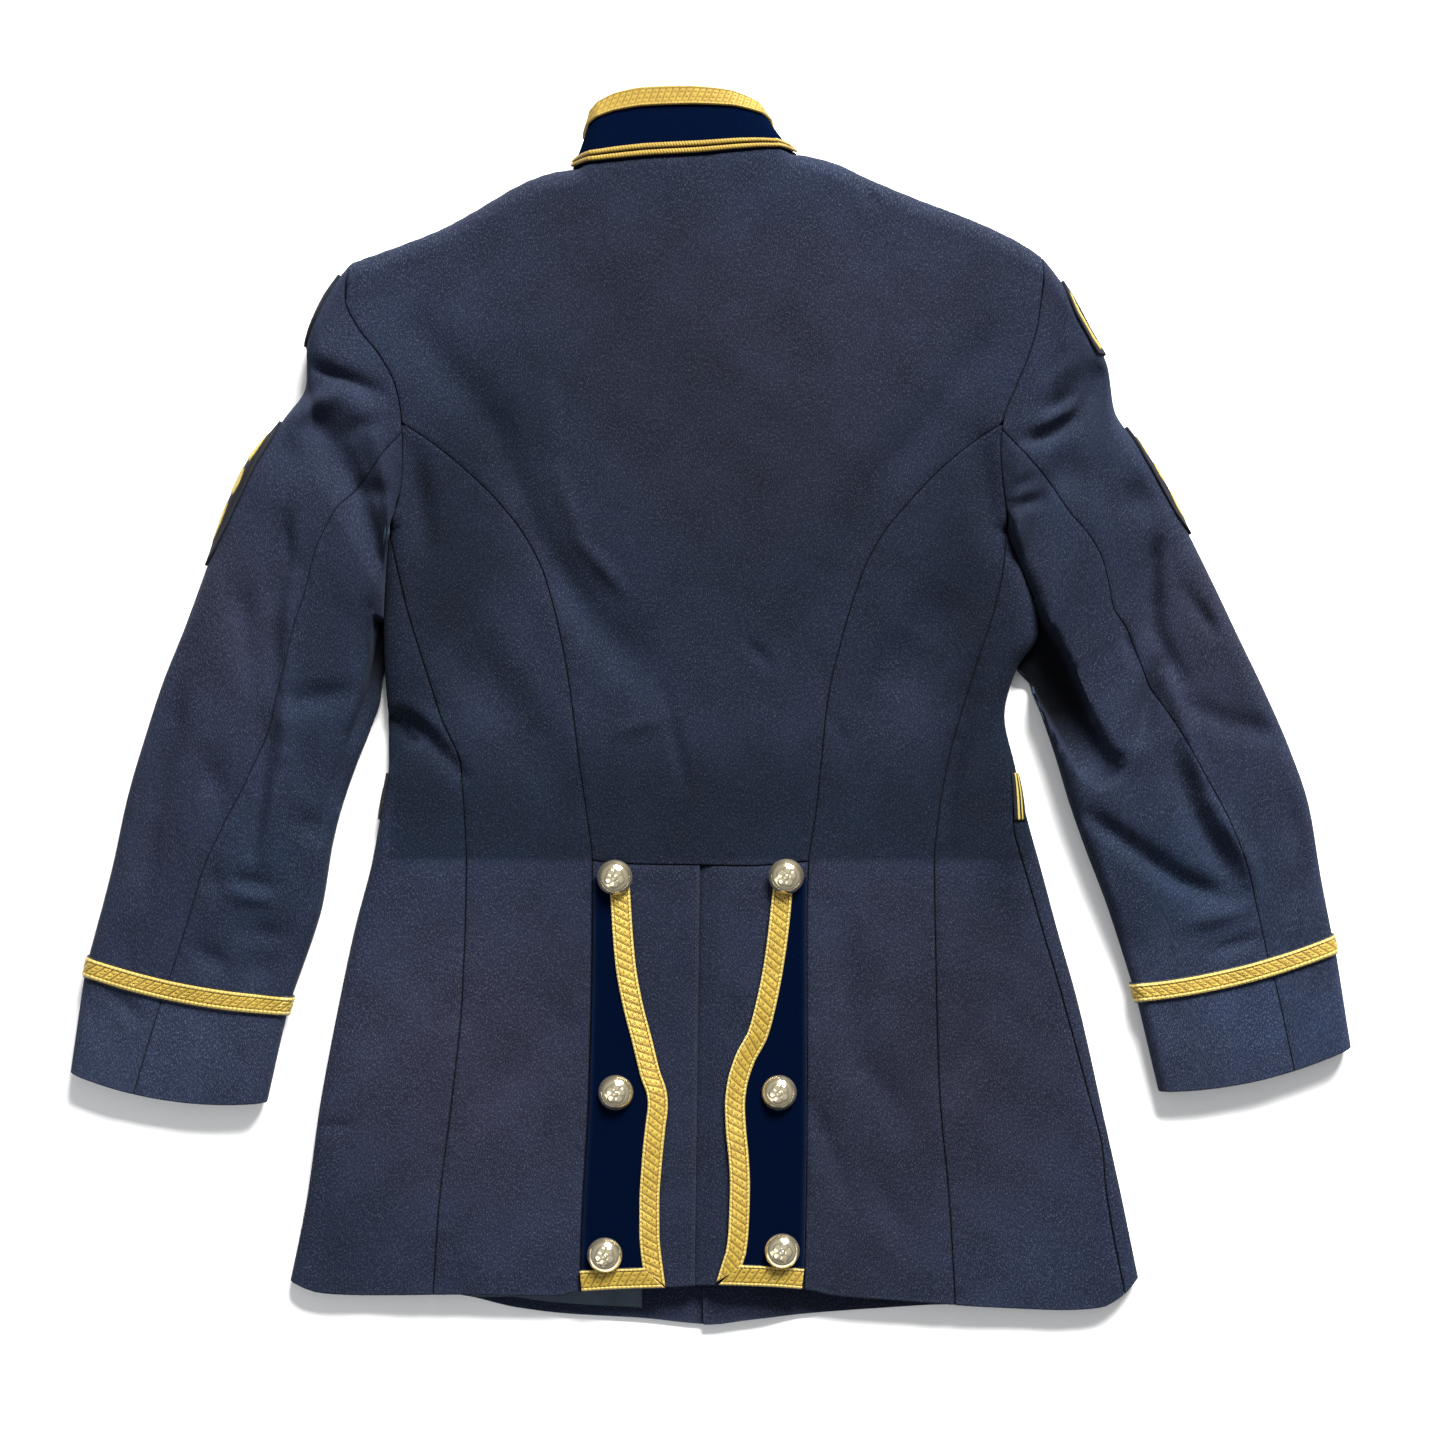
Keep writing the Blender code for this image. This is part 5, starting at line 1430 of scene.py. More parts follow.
def make_buttons():
    rise_of = curve(sorted((1 - s, h) for s, h in BUTTON_RINGS[8:]))
    dome = np.linspace(0.10, 1.0, 42)
    outline = [(s, h) for s, h in BUTTON_RINGS[:8]]
    outline += [(1 - u, float(rise_of(u))) for u in dome[:-1]] + [(0.002, 1.0)]
    shares = np.array([s for s, _ in outline])[:, None]
    rises = np.array([h for _, h in outline])[:, None]
    angles = np.arange(BUTTON_COLUMNS)[None, :] * math.tau / BUTTON_COLUMNS
    for side in SIDES:
        for number in (1, 2, 3):
            node = "tail_button_%s_%d" % (SIDE_NAME[side], number)
            low, high = (np.array(corner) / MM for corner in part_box(node))
            centre = (low + high) / 2 + np.array((*CENTRE, 0.0))
            radius = (high[0] - low[0]) / 2
            height = high[2] - low[2]
            turn = angles + 0.7 * number + 0.4 * side
            on_dome = (rises > 0.3) & (shares < 0.86)
            relief = np.where(on_dome, button_relief(shares, turn), 0.0)
            x = centre[0] + radius * shares * np.cos(angles)
            y = centre[1] + radius * shares * np.sin(angles)
            z = low[2] + (height - 0.5) * rises + relief
            points = points_of(x, y, z).reshape(-1, 3)
            ids, quads = ring_quads(len(outline), BUTTON_COLUMNS)
            # the flat back, as a fan of quads round its middle
            middle = len(points)
            points = np.concatenate([points, [[centre[0], centre[1], low[2]]]])
            even_ids = ids[0, ::2]
            odd_ids = ids[0, 1::2]
            back = np.stack([np.full(len(even_ids), middle), np.roll(even_ids, -1), odd_ids,
                             even_ids], -1)
            faces = np.concatenate([quads, back])
            # patina in the rosette's hollows, and painted shade that darkens the dome towards its
            # rim
            low_relief = np.clip(1 - relief / 0.25, 0.0, 1.0) * smoothstep((0.62 - shares) / 0.10)
            rim_shade = 0.5 * smoothstep((shares - 0.60) / 0.42) ** 1.6
            patina_and_rim_shade = np.maximum(rim_shade, 0.42 * low_relief)
            flat = points_of(patina_and_rim_shade, 0.5, 1.0, 1.0).reshape(-1, 4)
            paint = np.concatenate([flat, [[0.5, 0.5, 1.0, 1.0]]])
            rim = np.broadcast_to(np.where(shares > 0.95, 1.0, 0.0), z.shape).ravel()
            wear = np.concatenate([rim, [0.0]])
            add_mesh(node[len("tail_"):], [node], points, faces, points[:, :2], paint, wear,
                     [MATERIALS["gilt"]], np.zeros(len(faces)), "gilt")


# Sleeves

def station_curves(side):
    table = [(i, *row) for i, row in enumerate(SLEEVES[side])]
    return [curve(table, column) for column in range(1, 8)]


sleeve_curves = {side: station_curves(side) for side in SIDES}


def sleeve_ring(side, around, station):
    """Share across the sleeve's width and level (0 under, 1 on top) of ring positions.

    around runs from the inner fold (0) over the back, past the elbow seam (2) to the outer
    fold (4), and under the sleeve past the front seam (6) back to the inner fold (8).
    """
    outer_x, outer_y, inner_x, inner_y, elbow, height, _ = [c(station) for c in
                                                            sleeve_curves[side]]
    width = np.hypot(outer_x - inner_x, outer_y - inner_y)
    drop = np.abs(outer_y - inner_y)
    width = lerp(drop, width, np.minimum(station, 1.0))
    radius = lerp(TORSO_ROUND, height / 2, np.minimum(station / 3, 1.0))
    edge = radius / width
    around = around % 8.0
    inner_fold = np.where(around < 4, around, 8 - around) * QUARTER
    outer_fold = np.abs(4 - around) * QUARTER
    over = around < 4
    near_inner = (around < 1) | (around >= 7)
    near_outer = (around >= 3) & (around < 5)
    share = np.select(
        [near_inner, near_outer, around < 2, around < 3, around < 6],
        [edge * (1 - np.cos(inner_fold)), 1 - edge * (1 - np.cos(outer_fold)),
         lerp(edge, elbow, around - 1), lerp(elbow, 1 - edge, around - 2),
         lerp(1 - edge, FRONT_SEAM_SHARE, around - 5)],
        lerp(FRONT_SEAM_SHARE, edge, around - 6))
    sign = np.where(over, 1.0, -1.0)
    level = np.select([near_inner, near_outer],
                      [0.5 + 0.5 * sign * np.sin(inner_fold),
                       0.5 + 0.5 * sign * np.sin(outer_fold)], np.where(over, 1.0, 0.0))
    return share, level


LEAST_HEIGHT = 4.6       # of the sleeve's back over the surface, in its deepest crease
TOUCH_LOW_Y = -60.0      # from here up the inner fold may reach the torso
TOUCH_Y = 14.0           # above this the sleeve's inner fold lies against the torso


def sleeve_point(side, around, station):
    """Points of the sleeve, and their shade."""
    outer_x, outer_y, inner_x, inner_y, _, height, bow = [c(station) for c in
                                                          sleeve_curves[side]]
    share, level = sleeve_ring(side, around, station)
    # keep the inner fold beside the torso
    beside = (inner_y > TOUCH_LOW_Y) & (inner_y < UNDERARM_Y + 1.0)
    limit = edge_curve[side](inner_y) + side * SLEEVE_CLEARANCE * np.minimum(station * 2, 1.0)
    inner_x = np.where(beside, side * np.maximum(side * inner_x, side * limit), inner_x)
    touching = smoothstep((inner_y - TOUCH_Y) / 12.0) * (inner_y < UNDERARM_Y)
    inner_x = lerp(inner_x, limit, touching)
    x = lerp(inner_x, outer_x, share)
    y = lerp(inner_y, outer_y, share)
    # the armhole's own curve fades out along the sleeve
    fade = 1 - smoothstep(station / 4.5)
    level_y = lerp(UNDERARM_Y, SHOULDER_Y[side], share)
    straight = lerp(armhole_x[side](UNDERARM_Y), armhole_x[side](SHOULDER_Y[side]), share)
    x = x + (armhole_x[side](level_y) - straight) * fade
    # the ring's middle bows towards the cuff
    across_x = outer_x - inner_x
    across_y = outer_y - inner_y
    length = np.hypot(across_x, across_y)
    cuff_x = across_y / length * -side
    cuff_y = -across_x / length * -side
    flip = np.where(cuff_y > 0, -1.0, 1.0)
    sag = bow * 4 * share * (1 - share)
    x = x + cuff_x * flip * sag
    y = y + cuff_y * flip * sag
    joined = smoothstep(station / 1.5)
    top = lerp(torso_height(x, y), height, joined)
    upper = np.maximum(0.0, 2 * level - 1)
    relief = fold_depth(SLEEVE_FOLDS[side], x, y)
    relief = relief + CREASE_SCALE * fold_depth(SLEEVE_CREASES[side], x, y)
    relief = relief * joined + ripple(x, y)
    # a crease never drives the cloth through the side that it lies on
    relief = np.maximum(relief, (LEAST_HEIGHT - top) * 0.95)
    sunk, shade = sink_pockets(SLEEVE_POCKETS[side], x, y, top)
    z = (top * level + relief * upper) * sunk
    x = x + side * SEAM_GAP / 2 * np.maximum(0.0, 1 - station)
    return points_of(x, y, z), shade


def sleeve_axis(side, station):
    ring = np.linspace(0.0, 8.0, 33)[:-1]
    points, _ = sleeve_point(side, ring[None, :], station)
    return points.mean(axis=1, keepdims=True)


def sleeve_columns(side, knots, spacing, first=True, last=True, station=6.0):
    """Fine ring positions, evenly spaced along the cloth at one station."""
    probe = np.linspace(knots[0], knots[-1], 400)
    points, _ = sleeve_point(side, probe[None, :], np.array([[station]]))
    reach = travelled(points, 1)[0]
    wanted = shares_over(reach[-1], spacing, first, last) * reach[-1]
    return np.interp(wanted, reach, probe)


def sleeve_stations(side, low, high, spacing, first=True, last=True):
    """Fine stations, evenly spaced along the sleeve's middle."""
    probe = np.linspace(low, high, 400)[:, None]
    points, _ = sleeve_point(side, np.array([[2.5]]), probe)
    reach = travelled(points, 0)[:, 0]
    wanted = shares_over(reach[-1], spacing, first, last) * reach[-1]
    return np.interp(wanted, reach, probe[:, 0])


def sleeve_cloth(side, around, station, **options):
    around, station = np.broadcast_arrays(around, station)
    points, shade = sleeve_point(side, around, station)
    outwards = (points - sleeve_axis(side, station[:, :1])) * np.array((0.3, 0.3, 1.0))
    if "shade" in options:
        shade = np.maximum(shade, options.pop("shade"))
    return Cloth(points, outwards, shade=shade, **options)


def make_sleeves():
    for side in SIDES:
        last = len(SLEEVES[side]) - 1.0
        stations = sleeve_stations(side, 0.0, last, SLEEVE_GRID)[:, None]
        for kind, low, high in (("top", 2.0, 6.0), ("under", 6.0, 10.0)):
            columns = sleeve_columns(side, [low, high], SLEEVE_GRID)[None, :]
            cloth = sleeve_cloth(side, columns, stations, borders="shss")
            name = "%s_sleeve_%s" % (kind, SIDE_NAME[side])
            add_cloth("cloth_" + name, [name], [cloth], "wool", "lining")


CUFF_LACE_RING = (7.667, 12.333)      # just past the sleeve's two folds
CUFF_LACE_SPACING = 0.70


def make_cuff_lace():
    for side in SIDES:
        low, high = LACE_STATIONS[side]
        columns = sleeve_columns(side, CUFF_LACE_RING, CUFF_LACE_SPACING, False, False,
                                 (low + high) / 2)
        across = lace_columns()[:, None]
        stations = lerp(low, high, across[:, 0] / LACE_WIDTH + 0.5)
        around = columns[None, :]
        station = stations[:, None]
        points, _ = sleeve_point(side, around, station)
        along = travelled(points, 1)
        along = along[len(along) // 2][None, :]
        relief, dark, gold = lace_relief(across, along)
        cloth = sleeve_cloth(side, around, station, thick=LACE_THICK, borders="hhhh",
                             lift=FACING_LIFT + 0.1, relief=relief, shade=dark, gold=gold,
                             cut=points_of(across + 0 * along, along + 0 * across))
        name = SIDE_NAME[side]
        add_cloth("lace_cuff_" + name, ["cuff_lace_" + name], [cloth], "gold_lace")


# Bars of the chevron badges and the band of the right shoulder badge, as shares of the length
BADGE_BARS = {
    ("shoulder_patch", -1): [],
    ("shoulder_patch", 1): [(0.12, 0.90)],
    ("chevron_patch", -1): [(0.10, 0.34), (0.39, 0.63), (0.67, 0.90)],
    ("chevron_patch", 1): [(0.10, 0.33), (0.40, 0.60), (0.67, 0.92)],
}
BADGE_BORDER = {-1: 5.4, 1: 3.6}      # black cloth between the bars and the badge's edge
BADGE_FOLD = 4.5         # ring position of the badge's hidden edge
BAND_PLACES = (2.6, 5.6)
BADGE_LIFT = 1.75
BADGE_THICK = 1.2
BAR_RISE = 0.55


def make_badges():
    for kind, table in (("shoulder_patch", SHOULDER_PATCH), ("chevron_patch", CHEVRON_PATCH)):
        for side in SIDES:
            rows = table[side]
            reach = curve(rows)
            low, high = rows[0][0], rows[-1][0]
            station = sleeve_stations(side, low, high, 0.9)[:, None]
            start = reach(station)
            t = shares_over(40.0, 1.0)[None, :]
            around = lerp(start, BADGE_FOLD, t)
            share = (station - low) / (high - low) + 0 * around
            probe, _ = sleeve_point(side, around, station)
            over = travelled(probe, 1)
            along = travelled(probe, 0)
            gold = np.zeros(share.shape)
            wide = BADGE_BORDER[side]
            arc = np.abs(np.sin((share - 0.10) / 0.28 * math.pi))
            inset = smoothstep((over - wide - 2.2 * (1 - arc)) / 0.6)
            for first, last in BADGE_BARS[(kind, side)]:
                bar = smoothstep((share - first) / 0.03) * smoothstep((last - share) / 0.03)
                if kind == "chevron_patch":
                    gold = np.maximum(gold, bar * inset)
                else:
                    near, far = BAND_PLACES
                    band = smoothstep((over - near) / 0.6) * smoothstep((far - over) / 0.6)
                    gold = np.maximum(gold, bar * band)
            stitches = 0.10 * np.sin(along * math.tau / 0.9)
            border = 0.35 * np.exp(-(over / 1.2) ** 2)
            relief = BAR_RISE * gold + stitches * gold + border
            cloth = sleeve_cloth(side, around, station, thick=BADGE_THICK, borders="hhhh",
                                 lift=BADGE_LIFT, relief=relief, gold=gold)
            name = "%s_%s" % (kind, SIDE_NAME[side])
            add_cloth("badge_" + name, [name], [cloth], "badge_cloth")


STRIPE_HALF = 0.6        # half the width of a belt loop's gold stripe
LOOP_RISE = 0.7          # of a belt loop's middle over its ends
STRIPE_PLACES = {-1: (0.30, 0.62), 1: (0.39, 0.69)}


def make_belt_loops():
    for side in SIDES:
        low, high = BELT_LOOP_SPAN
        start, end = BELT_LOOP_REACH[side]
        run = np.linspace(low, high, 44)[:, None]
        shares = np.linspace(0.0, 1.0, 20)[None, :] + 0 * run
        lean = BELT_LOOP_LEAN[side] * (high - run) / (high - low)
        points, shade = torso_point(side, lerp(start, end, shares) + lean, run)
        gold = np.zeros(shares.shape)
        width = travelled(points, 1)[:, -1:]
        for place in STRIPE_PLACES[side]:
            stripe = smoothstep((STRIPE_HALF - np.abs(shares - place) * width) / 0.15)
            gold = np.maximum(gold, stripe)
        arch = LOOP_RISE * np.sin((run - low) / (high - low) * math.pi)
        relief = 0.25 * gold + arch + 0.06 * np.sin(run * math.tau / 1.4)
        outwards = (points - INSIDE_BODY) * np.array((1.0, 0.0, 0.3))
        cloth = Cloth(points, outwards, FACING_THICK, "hhhh", FACING_LIFT, relief=relief,
                      shade=shade, gold=gold)
        name = SIDE_NAME[side]
        add_cloth("loop_belt_" + name, ["belt_loop_" + name], [cloth], "badge_cloth")


# Collar

def collar_base(phi):
    """Base of the collar: the back neck on top, the front neckline on the surface."""
    x = NECK_MIDDLE - NECK_HALF * np.sin(phi)
    inside = np.minimum(x - NECK[0], NECK[1] - x)
    turn = shoulder_share(x) * QUARTER
    over = np.cos(phi) < 0
    y = np.where(over, back_top(x), front_neck(x))
    level = np.where(over, 0.5 + 0.5 * np.cos(turn), 0.5 - 0.5 * np.cos(turn))
    level = np.where(over & (inside <= 0), 0.5, level)
    return points_of(x, y, torso_height(x, y) * level)


def signed_power(value, power):
    return np.sign(value) * np.abs(value) ** power


def collar_rim(phi):
    x = RIM_CENTRE[0] - RIM_HALF[0] * signed_power(np.sin(phi), RIM_POWER)
    y = RIM_CENTRE[1] - RIM_HALF[1] * signed_power(np.cos(phi), RIM_POWER)
    level = 0.5 - 0.5 * signed_power(np.cos(phi), 0.5)
    return points_of(x, y, COLLAR_RIM_HEIGHT * level)


def collar_point(phi, rise):
    """Points of the collar's outer face; rise runs from the neck seam (0) to the rim (1)."""
    base = collar_base(phi)
    rim = collar_rim(phi)
    rise = np.asarray(rise)[..., None]
    direction = (rim - base) / np.linalg.norm(rim - base, axis=-1, keepdims=True)
    sag = 0.9 * np.sin(phi * 3.0 + 0.7) * np.sin(phi * 1.0)
    point = base + (rim - base) * rise + direction * COLLAR_GAP * (1 - rise)
    return point + points_of(0.0, 0.0, sag) * np.sin(math.pi * rise)


COLLAR_MEETING = 0.4     # half the gap between the collar's ends


def collar_angles():
    """Angles of the collar's columns in the solid model."""
    left_front = [-40.0, -62.0, -81.0]
    back = [-85.0, -77.0, -62.0, -40.0, -10.0, 20.0, 44.0, 52.0]
    right_front = [47.0, 30.0, 12.0]
    gap = COLLAR_MEETING / NECK_HALF

    def turn(x):
        return math.asin((NECK_MIDDLE - x) / NECK_HALF)

    return ([gap] + [turn(x) for x in left_front] + [QUARTER]
            + [math.pi - turn(x) for x in back] + [math.pi * 1.5]
            + [math.tau + turn(x) for x in right_front] + [math.tau - gap])


COLLAR_SOFTNESS = 0.5


def collar_surface(phi, rise):
    """The collar runs straight between the solid model's columns, softened a little."""
    knots = np.array(collar_angles())
    i = np.clip(np.searchsorted(knots, phi, side="right") - 1, 0, len(knots) - 2)
    t = ((phi - knots[i]) / (knots[i + 1] - knots[i]))[..., None]
    straight = lerp(collar_point(knots[i], rise), collar_point(knots[i + 1], rise), t)
    return lerp(straight, collar_point(phi, rise), COLLAR_SOFTNESS)


INSIDE_COLLAR = np.array((-20.0, 350.0, 14.0))


def collar_cloth(low, high, rises, spacing, **options):
    probe = np.linspace(low, high, 2400)
    reach = travelled(collar_surface(probe[None, :], 0.85), 1)[0]
    wanted = shares_over(reach[-1], spacing, True, True) * reach[-1]
    phi = np.interp(wanted, reach, probe)[None, :]
    points = collar_surface(phi, rises[:, None] + 0 * phi)
    outwards = (points - INSIDE_COLLAR) * np.array((1.0, 0.0, 1.0))
    relief = options.pop("relief_of", None)
    if relief is not None:
        along = travelled(points, 1)
        along = along[len(along) // 2][None, :]
        options["relief"], options["shade"], options["gold"] = relief(rises[:, None], along)
    return Cloth(points, outwards, **options)


SHOWN_SHARE = 0.999      # of the lace's width, so that its black edge isn't reached
COLLAR_LACE_SPAN = (0.72, 0.985)
PIPING_SPANS = {"lower": (0.03, 0.105), "upper": (0.125, 0.2)}


def collar_lace_relief(low, high):
    """A narrower lace with a denser pattern between its two cords, dimmed all over with painted
    shade.
    """
    def relief(rise, along):
        across = lerp(-LACE_WIDTH / 2, LACE_WIDTH / 2, (rise - low) / (high - low))
        height, dark, gold = lace_relief(across * SHOWN_SHARE, along * 1.3)
        # painted shade dims the whole lace and deepens in its grooves
        return height * 0.85, 0.40 + 0.36 * dark, np.minimum(gold, 1.2)
    return relief


def piping_relief(low, high):
    """A half-round twisted cord, with painted shade on it."""
    def relief(rise, along):
        u = lerp(-1.0, 1.0, (rise - low) / (high - low))
        strand = along * math.tau / 1.9 + 1.4 * u
        height = 0.95 * np.sqrt(np.clip(1 - u * u, 0.0, 1.0)) + 0.16 * np.sin(strand)
        # painted shade: dim all over, lighter on each strand's crown and darker on the cord's
        # sides
        dark = np.clip(0.50 - 0.30 * np.sin(strand) + 0.5 * np.abs(u) ** 4, 0.0, 1.0)
        return height - 0.7, dark, 1.2
    return relief


def make_collar():
    angles = collar_angles()
    rises = shares_over(COLLAR_HEIGHT, 2.2)
    band = collar_cloth(angles[0], angles[-1], rises, 2.4, thick=COLLAR_WALL, borders="shhh")
    add_cloth("collar_band", ["collar"], [band], "navy_cloth", "navy_cloth")
    back = [a for a in angles if 1.35 < a < math.tau - 1.35]
    first, last = back[0], back[-1]
    low, high = COLLAR_LACE_SPAN
    lace = collar_cloth(first, last, np.linspace(low, high, 26), 0.62, thick=LACE_THICK,
                        borders="hhhh", lift=FACING_LIFT + 0.15,
                        relief_of=collar_lace_relief(low, high))
    add_cloth("lace_collar", ["collar_lace"], [lace], "gold_lace")
    for name, (low, high) in PIPING_SPANS.items():
        cord = collar_cloth(first, last, np.linspace(low, high, 9), 0.5, thick=1.2,
                            borders="nnhh", lift=1.9, relief_of=piping_relief(low, high))
        add_cloth("piping_collar_" + name, ["collar_piping_" + name], [cord], "gold_lace")


LINING_SEAM_X = -126.7
LINING_THICK = 1.0


def make_lining_piece():
    """Lining inside the left front, seen between the back hem and the front's longer hem."""
    low_x, high_x = LINING_SPAN_X
    x = lerp(low_x, high_x, shares_over(high_x - low_x, 2.0))[None, :]
    v = shares_over(LINING_DEPTH, 2.0)[:, None]
    y = front_hem(x) + HEM_FACING * smoothstep((x - low_x) / 30.0) + 0.6 + LINING_DEPTH * v
    relief = 0.3 * np.sin(x / 6.1 + 0.8 * np.sin(y / 9.0)) * np.sin(y / 7.3 + x / 31.0)
    away = (x - LINING_SEAM_X) / 1.1
    relief = relief - 0.6 * np.exp(-away ** 2) - 0.3
    points = points_of(x, y, WALL + LAID_GAP + LINING_THICK)
    shade = 0.8 * np.exp(-(away / 0.8) ** 2) + 0 * y
    cloth = Cloth(points, UP, LINING_THICK, "hhhh", relief=relief, shade=shade)
    add_cloth("cloth_lining_left", ["lining_hem_left"], [cloth], "lining")


STITCH_PITCH = 3.0
STITCH_LENGTH = 2.1
STITCH_RADIUS = 0.24
STITCH_INSET = 2.2       # the stitching beside the vent's edge
STITCH_END = np.array(((0, 1, 2, 3), (0, 3, 4, 7), (7, 4, 5, 6)))     # faces that close it


def make_vent_stitching():
    """Hand stitches along the vent's edge, each a small rounded float of thread."""
    places = np.arange(-363.0, -104.0, STITCH_PITCH)
    rng = np.random.default_rng(7)
    rows, sides = 7, 8
    points, faces = [], []
    for y in places:
        y = y + rng.uniform(-0.15, 0.15)
        lean = rng.uniform(-0.06, 0.06)
        x = float(vent_edge(y)) - STITCH_INSET
        base = plan_point(np.array(x), np.array(y))[0]
        u = np.linspace(-1.0, 1.0, rows)
        thick = STITCH_RADIUS * np.sqrt(np.clip(1.02 - u * u, 0.02, 1.0))
        angle = np.arange(sides) * math.tau / sides
        px = base[0] + lean * u[:, None] * STITCH_LENGTH / 2 + thick[:, None] * np.cos(angle)
        py = base[1] + u[:, None] * STITCH_LENGTH / 2 + 0 * angle
        pz = base[2] + 0.1 + thick[:, None] * np.sin(angle)
        start = sum(len(p) for p in points)
        points.append(points_of(px, py, pz).reshape(-1, 3))
        ids, quads = ring_quads(rows, sides, start)
        for end in (ids[0, ::-1], ids[-1]):
            quads = np.concatenate([quads, end[STITCH_END]])
        faces.append(quads)
    points = np.concatenate(points)
    faces = np.concatenate(faces)
    if enclosed(points, faces) < 0:
        faces = faces[:, ::-1]
    paint = np.tile([[0.0, 0.5, 0.0, 1.0]], (len(points), 1))
    add_mesh("stitches_vent_edge", [], points, faces, points[:, :2], paint,
             np.zeros(len(points)), [MATERIALS["thread"]], np.zeros(len(faces)), "wool")


# Materials, all from nodes

class Shader:
    """A Principled material under construction."""

    def __init__(self, name):
        self.made = bpy.data.materials.new(name)
        self.made.use_nodes = True
        self.tree = self.made.node_tree
        self.main = self.tree.nodes["Principled BSDF"]

    def node(self, kind, **settings):
        node = self.tree.nodes.new(kind)
        for key, value in settings.items():
            setattr(node, key, value)
        return node

    def link(self, source, target):
        self.tree.links.new(source, target)

    def plug(self, value, socket):
        """Sets a socket from another node's output or from a plain value."""
        if isinstance(value, bpy.types.NodeSocket):
            self.link(value, socket)
        else:
            socket.default_value = value

    def scaled(self, x, y, turn=0.0):
        """The cloth's own coordinates in metres, times x and y."""
        source = self.node("ShaderNodeUVMap", uv_map="cut")
        mapping = self.node("ShaderNodeMapping")
        mapping.inputs["Scale"].default_value = (x, y, 1.0)
        mapping.inputs["Rotation"].default_value = (0.0, 0.0, turn)
        self.link(source.outputs["UV"], mapping.inputs["Vector"])
        return mapping.outputs["Vector"]

    def texture(self, kind, vector, values, **settings):
        node = self.node(kind, **settings)
        for name, number in values.items():
            node.inputs[name].default_value = number
        self.link(vector, node.inputs["Vector"])
        return node.outputs["Fac"]

    def noise(self, vector, detail=2.0, warp=0.0):
        values = {"Scale": 1.0, "Detail": detail, "Roughness": 0.5, "Distortion": warp}
        return self.texture("ShaderNodeTexNoise", vector, values)

    def wave(self, vector, warp=0.0, direction="X"):
        values = {"Scale": 1.0, "Distortion": warp, "Detail": 2.0, "Detail Scale": 1.5}
        return self.texture("ShaderNodeTexWave", vector, values, bands_direction=direction)

    def ramp(self, value, low, high, start=0.0, end=1.0):
        node = self.node("ShaderNodeMapRange", interpolation_type="SMOOTHSTEP")
        self.plug(value, node.inputs["Value"])
        for name, number in (("From Min", low), ("From Max", high), ("To Min", start),
                             ("To Max", end)):
            node.inputs[name].default_value = number
        return node.outputs["Result"]

    def math(self, operation, a, b):
        node = self.node("ShaderNodeMath", operation=operation)
        self.plug(a, node.inputs[0])
        self.plug(b, node.inputs[1])
        return node.outputs[0]

    def mix(self, factor, a, b, blend="MIX"):
        node = self.node("ShaderNodeMix", data_type="RGBA", blend_type=blend)
        self.plug(factor, node.inputs["Factor"])
        for value, socket in ((a, node.inputs[6]), (b, node.inputs[7])):
            self.plug(value if isinstance(value, bpy.types.NodeSocket) else (*value, 1.0), socket)
        return node.outputs[2]

    def cover(self, colour, over, share, amount):
        """A colour, covered by another in part, as much as share says times amount."""
        return self.mix(self.math("MULTIPLY", share, amount), colour, over)

    def grey(self, value):
        node = self.node("ShaderNodeCombineColor")
        for channel in ("Red", "Green", "Blue"):
            self.link(value, node.inputs[channel])
        return node.outputs["Color"]

    def paint(self):
        """The mesh's painted shade, tint, gold, and depth: painted light and shade with the
        cloth's tone.
        """
        source = self.node("ShaderNodeAttribute", attribute_name="paint")
        split = self.node("ShaderNodeSeparateColor")
        self.link(source.outputs["Color"], split.inputs["Color"])
        return (split.outputs["Red"], split.outputs["Green"], split.outputs["Blue"],
                source.outputs["Alpha"])

    def wear(self):
        return self.node("ShaderNodeAttribute", attribute_name="wear").outputs["Fac"]

    def bump(self, height, distance, strength=1.0):
        node = self.node("ShaderNodeBump")
        node.inputs["Distance"].default_value = distance
        node.inputs["Strength"].default_value = strength
        self.link(height, node.inputs["Height"])
        self.link(node.outputs["Normal"], self.main.inputs["Normal"])

    def set(self, **values):
        names = {"color": "Base Color", "rough": "Roughness", "metal": "Metallic",
                 "sheen": "Sheen Weight", "sheen_rough": "Sheen Roughness",
                 "sheen_tint": "Sheen Tint", "specular": "Specular IOR Level",
                 "anisotropic": "Anisotropic"}
        for key, value in values.items():
            self.plug(value, self.main.inputs[names[key]])
        return self.made


WOOL_PURPLE = (0.0080, 0.0080, 0.0165)
WOOL_TEAL = (0.0036, 0.0088, 0.0215)
WOOL_FLECK = (0.034, 0.042, 0.066)
WOOL_SHADE = (0.0006, 0.0008, 0.0018)


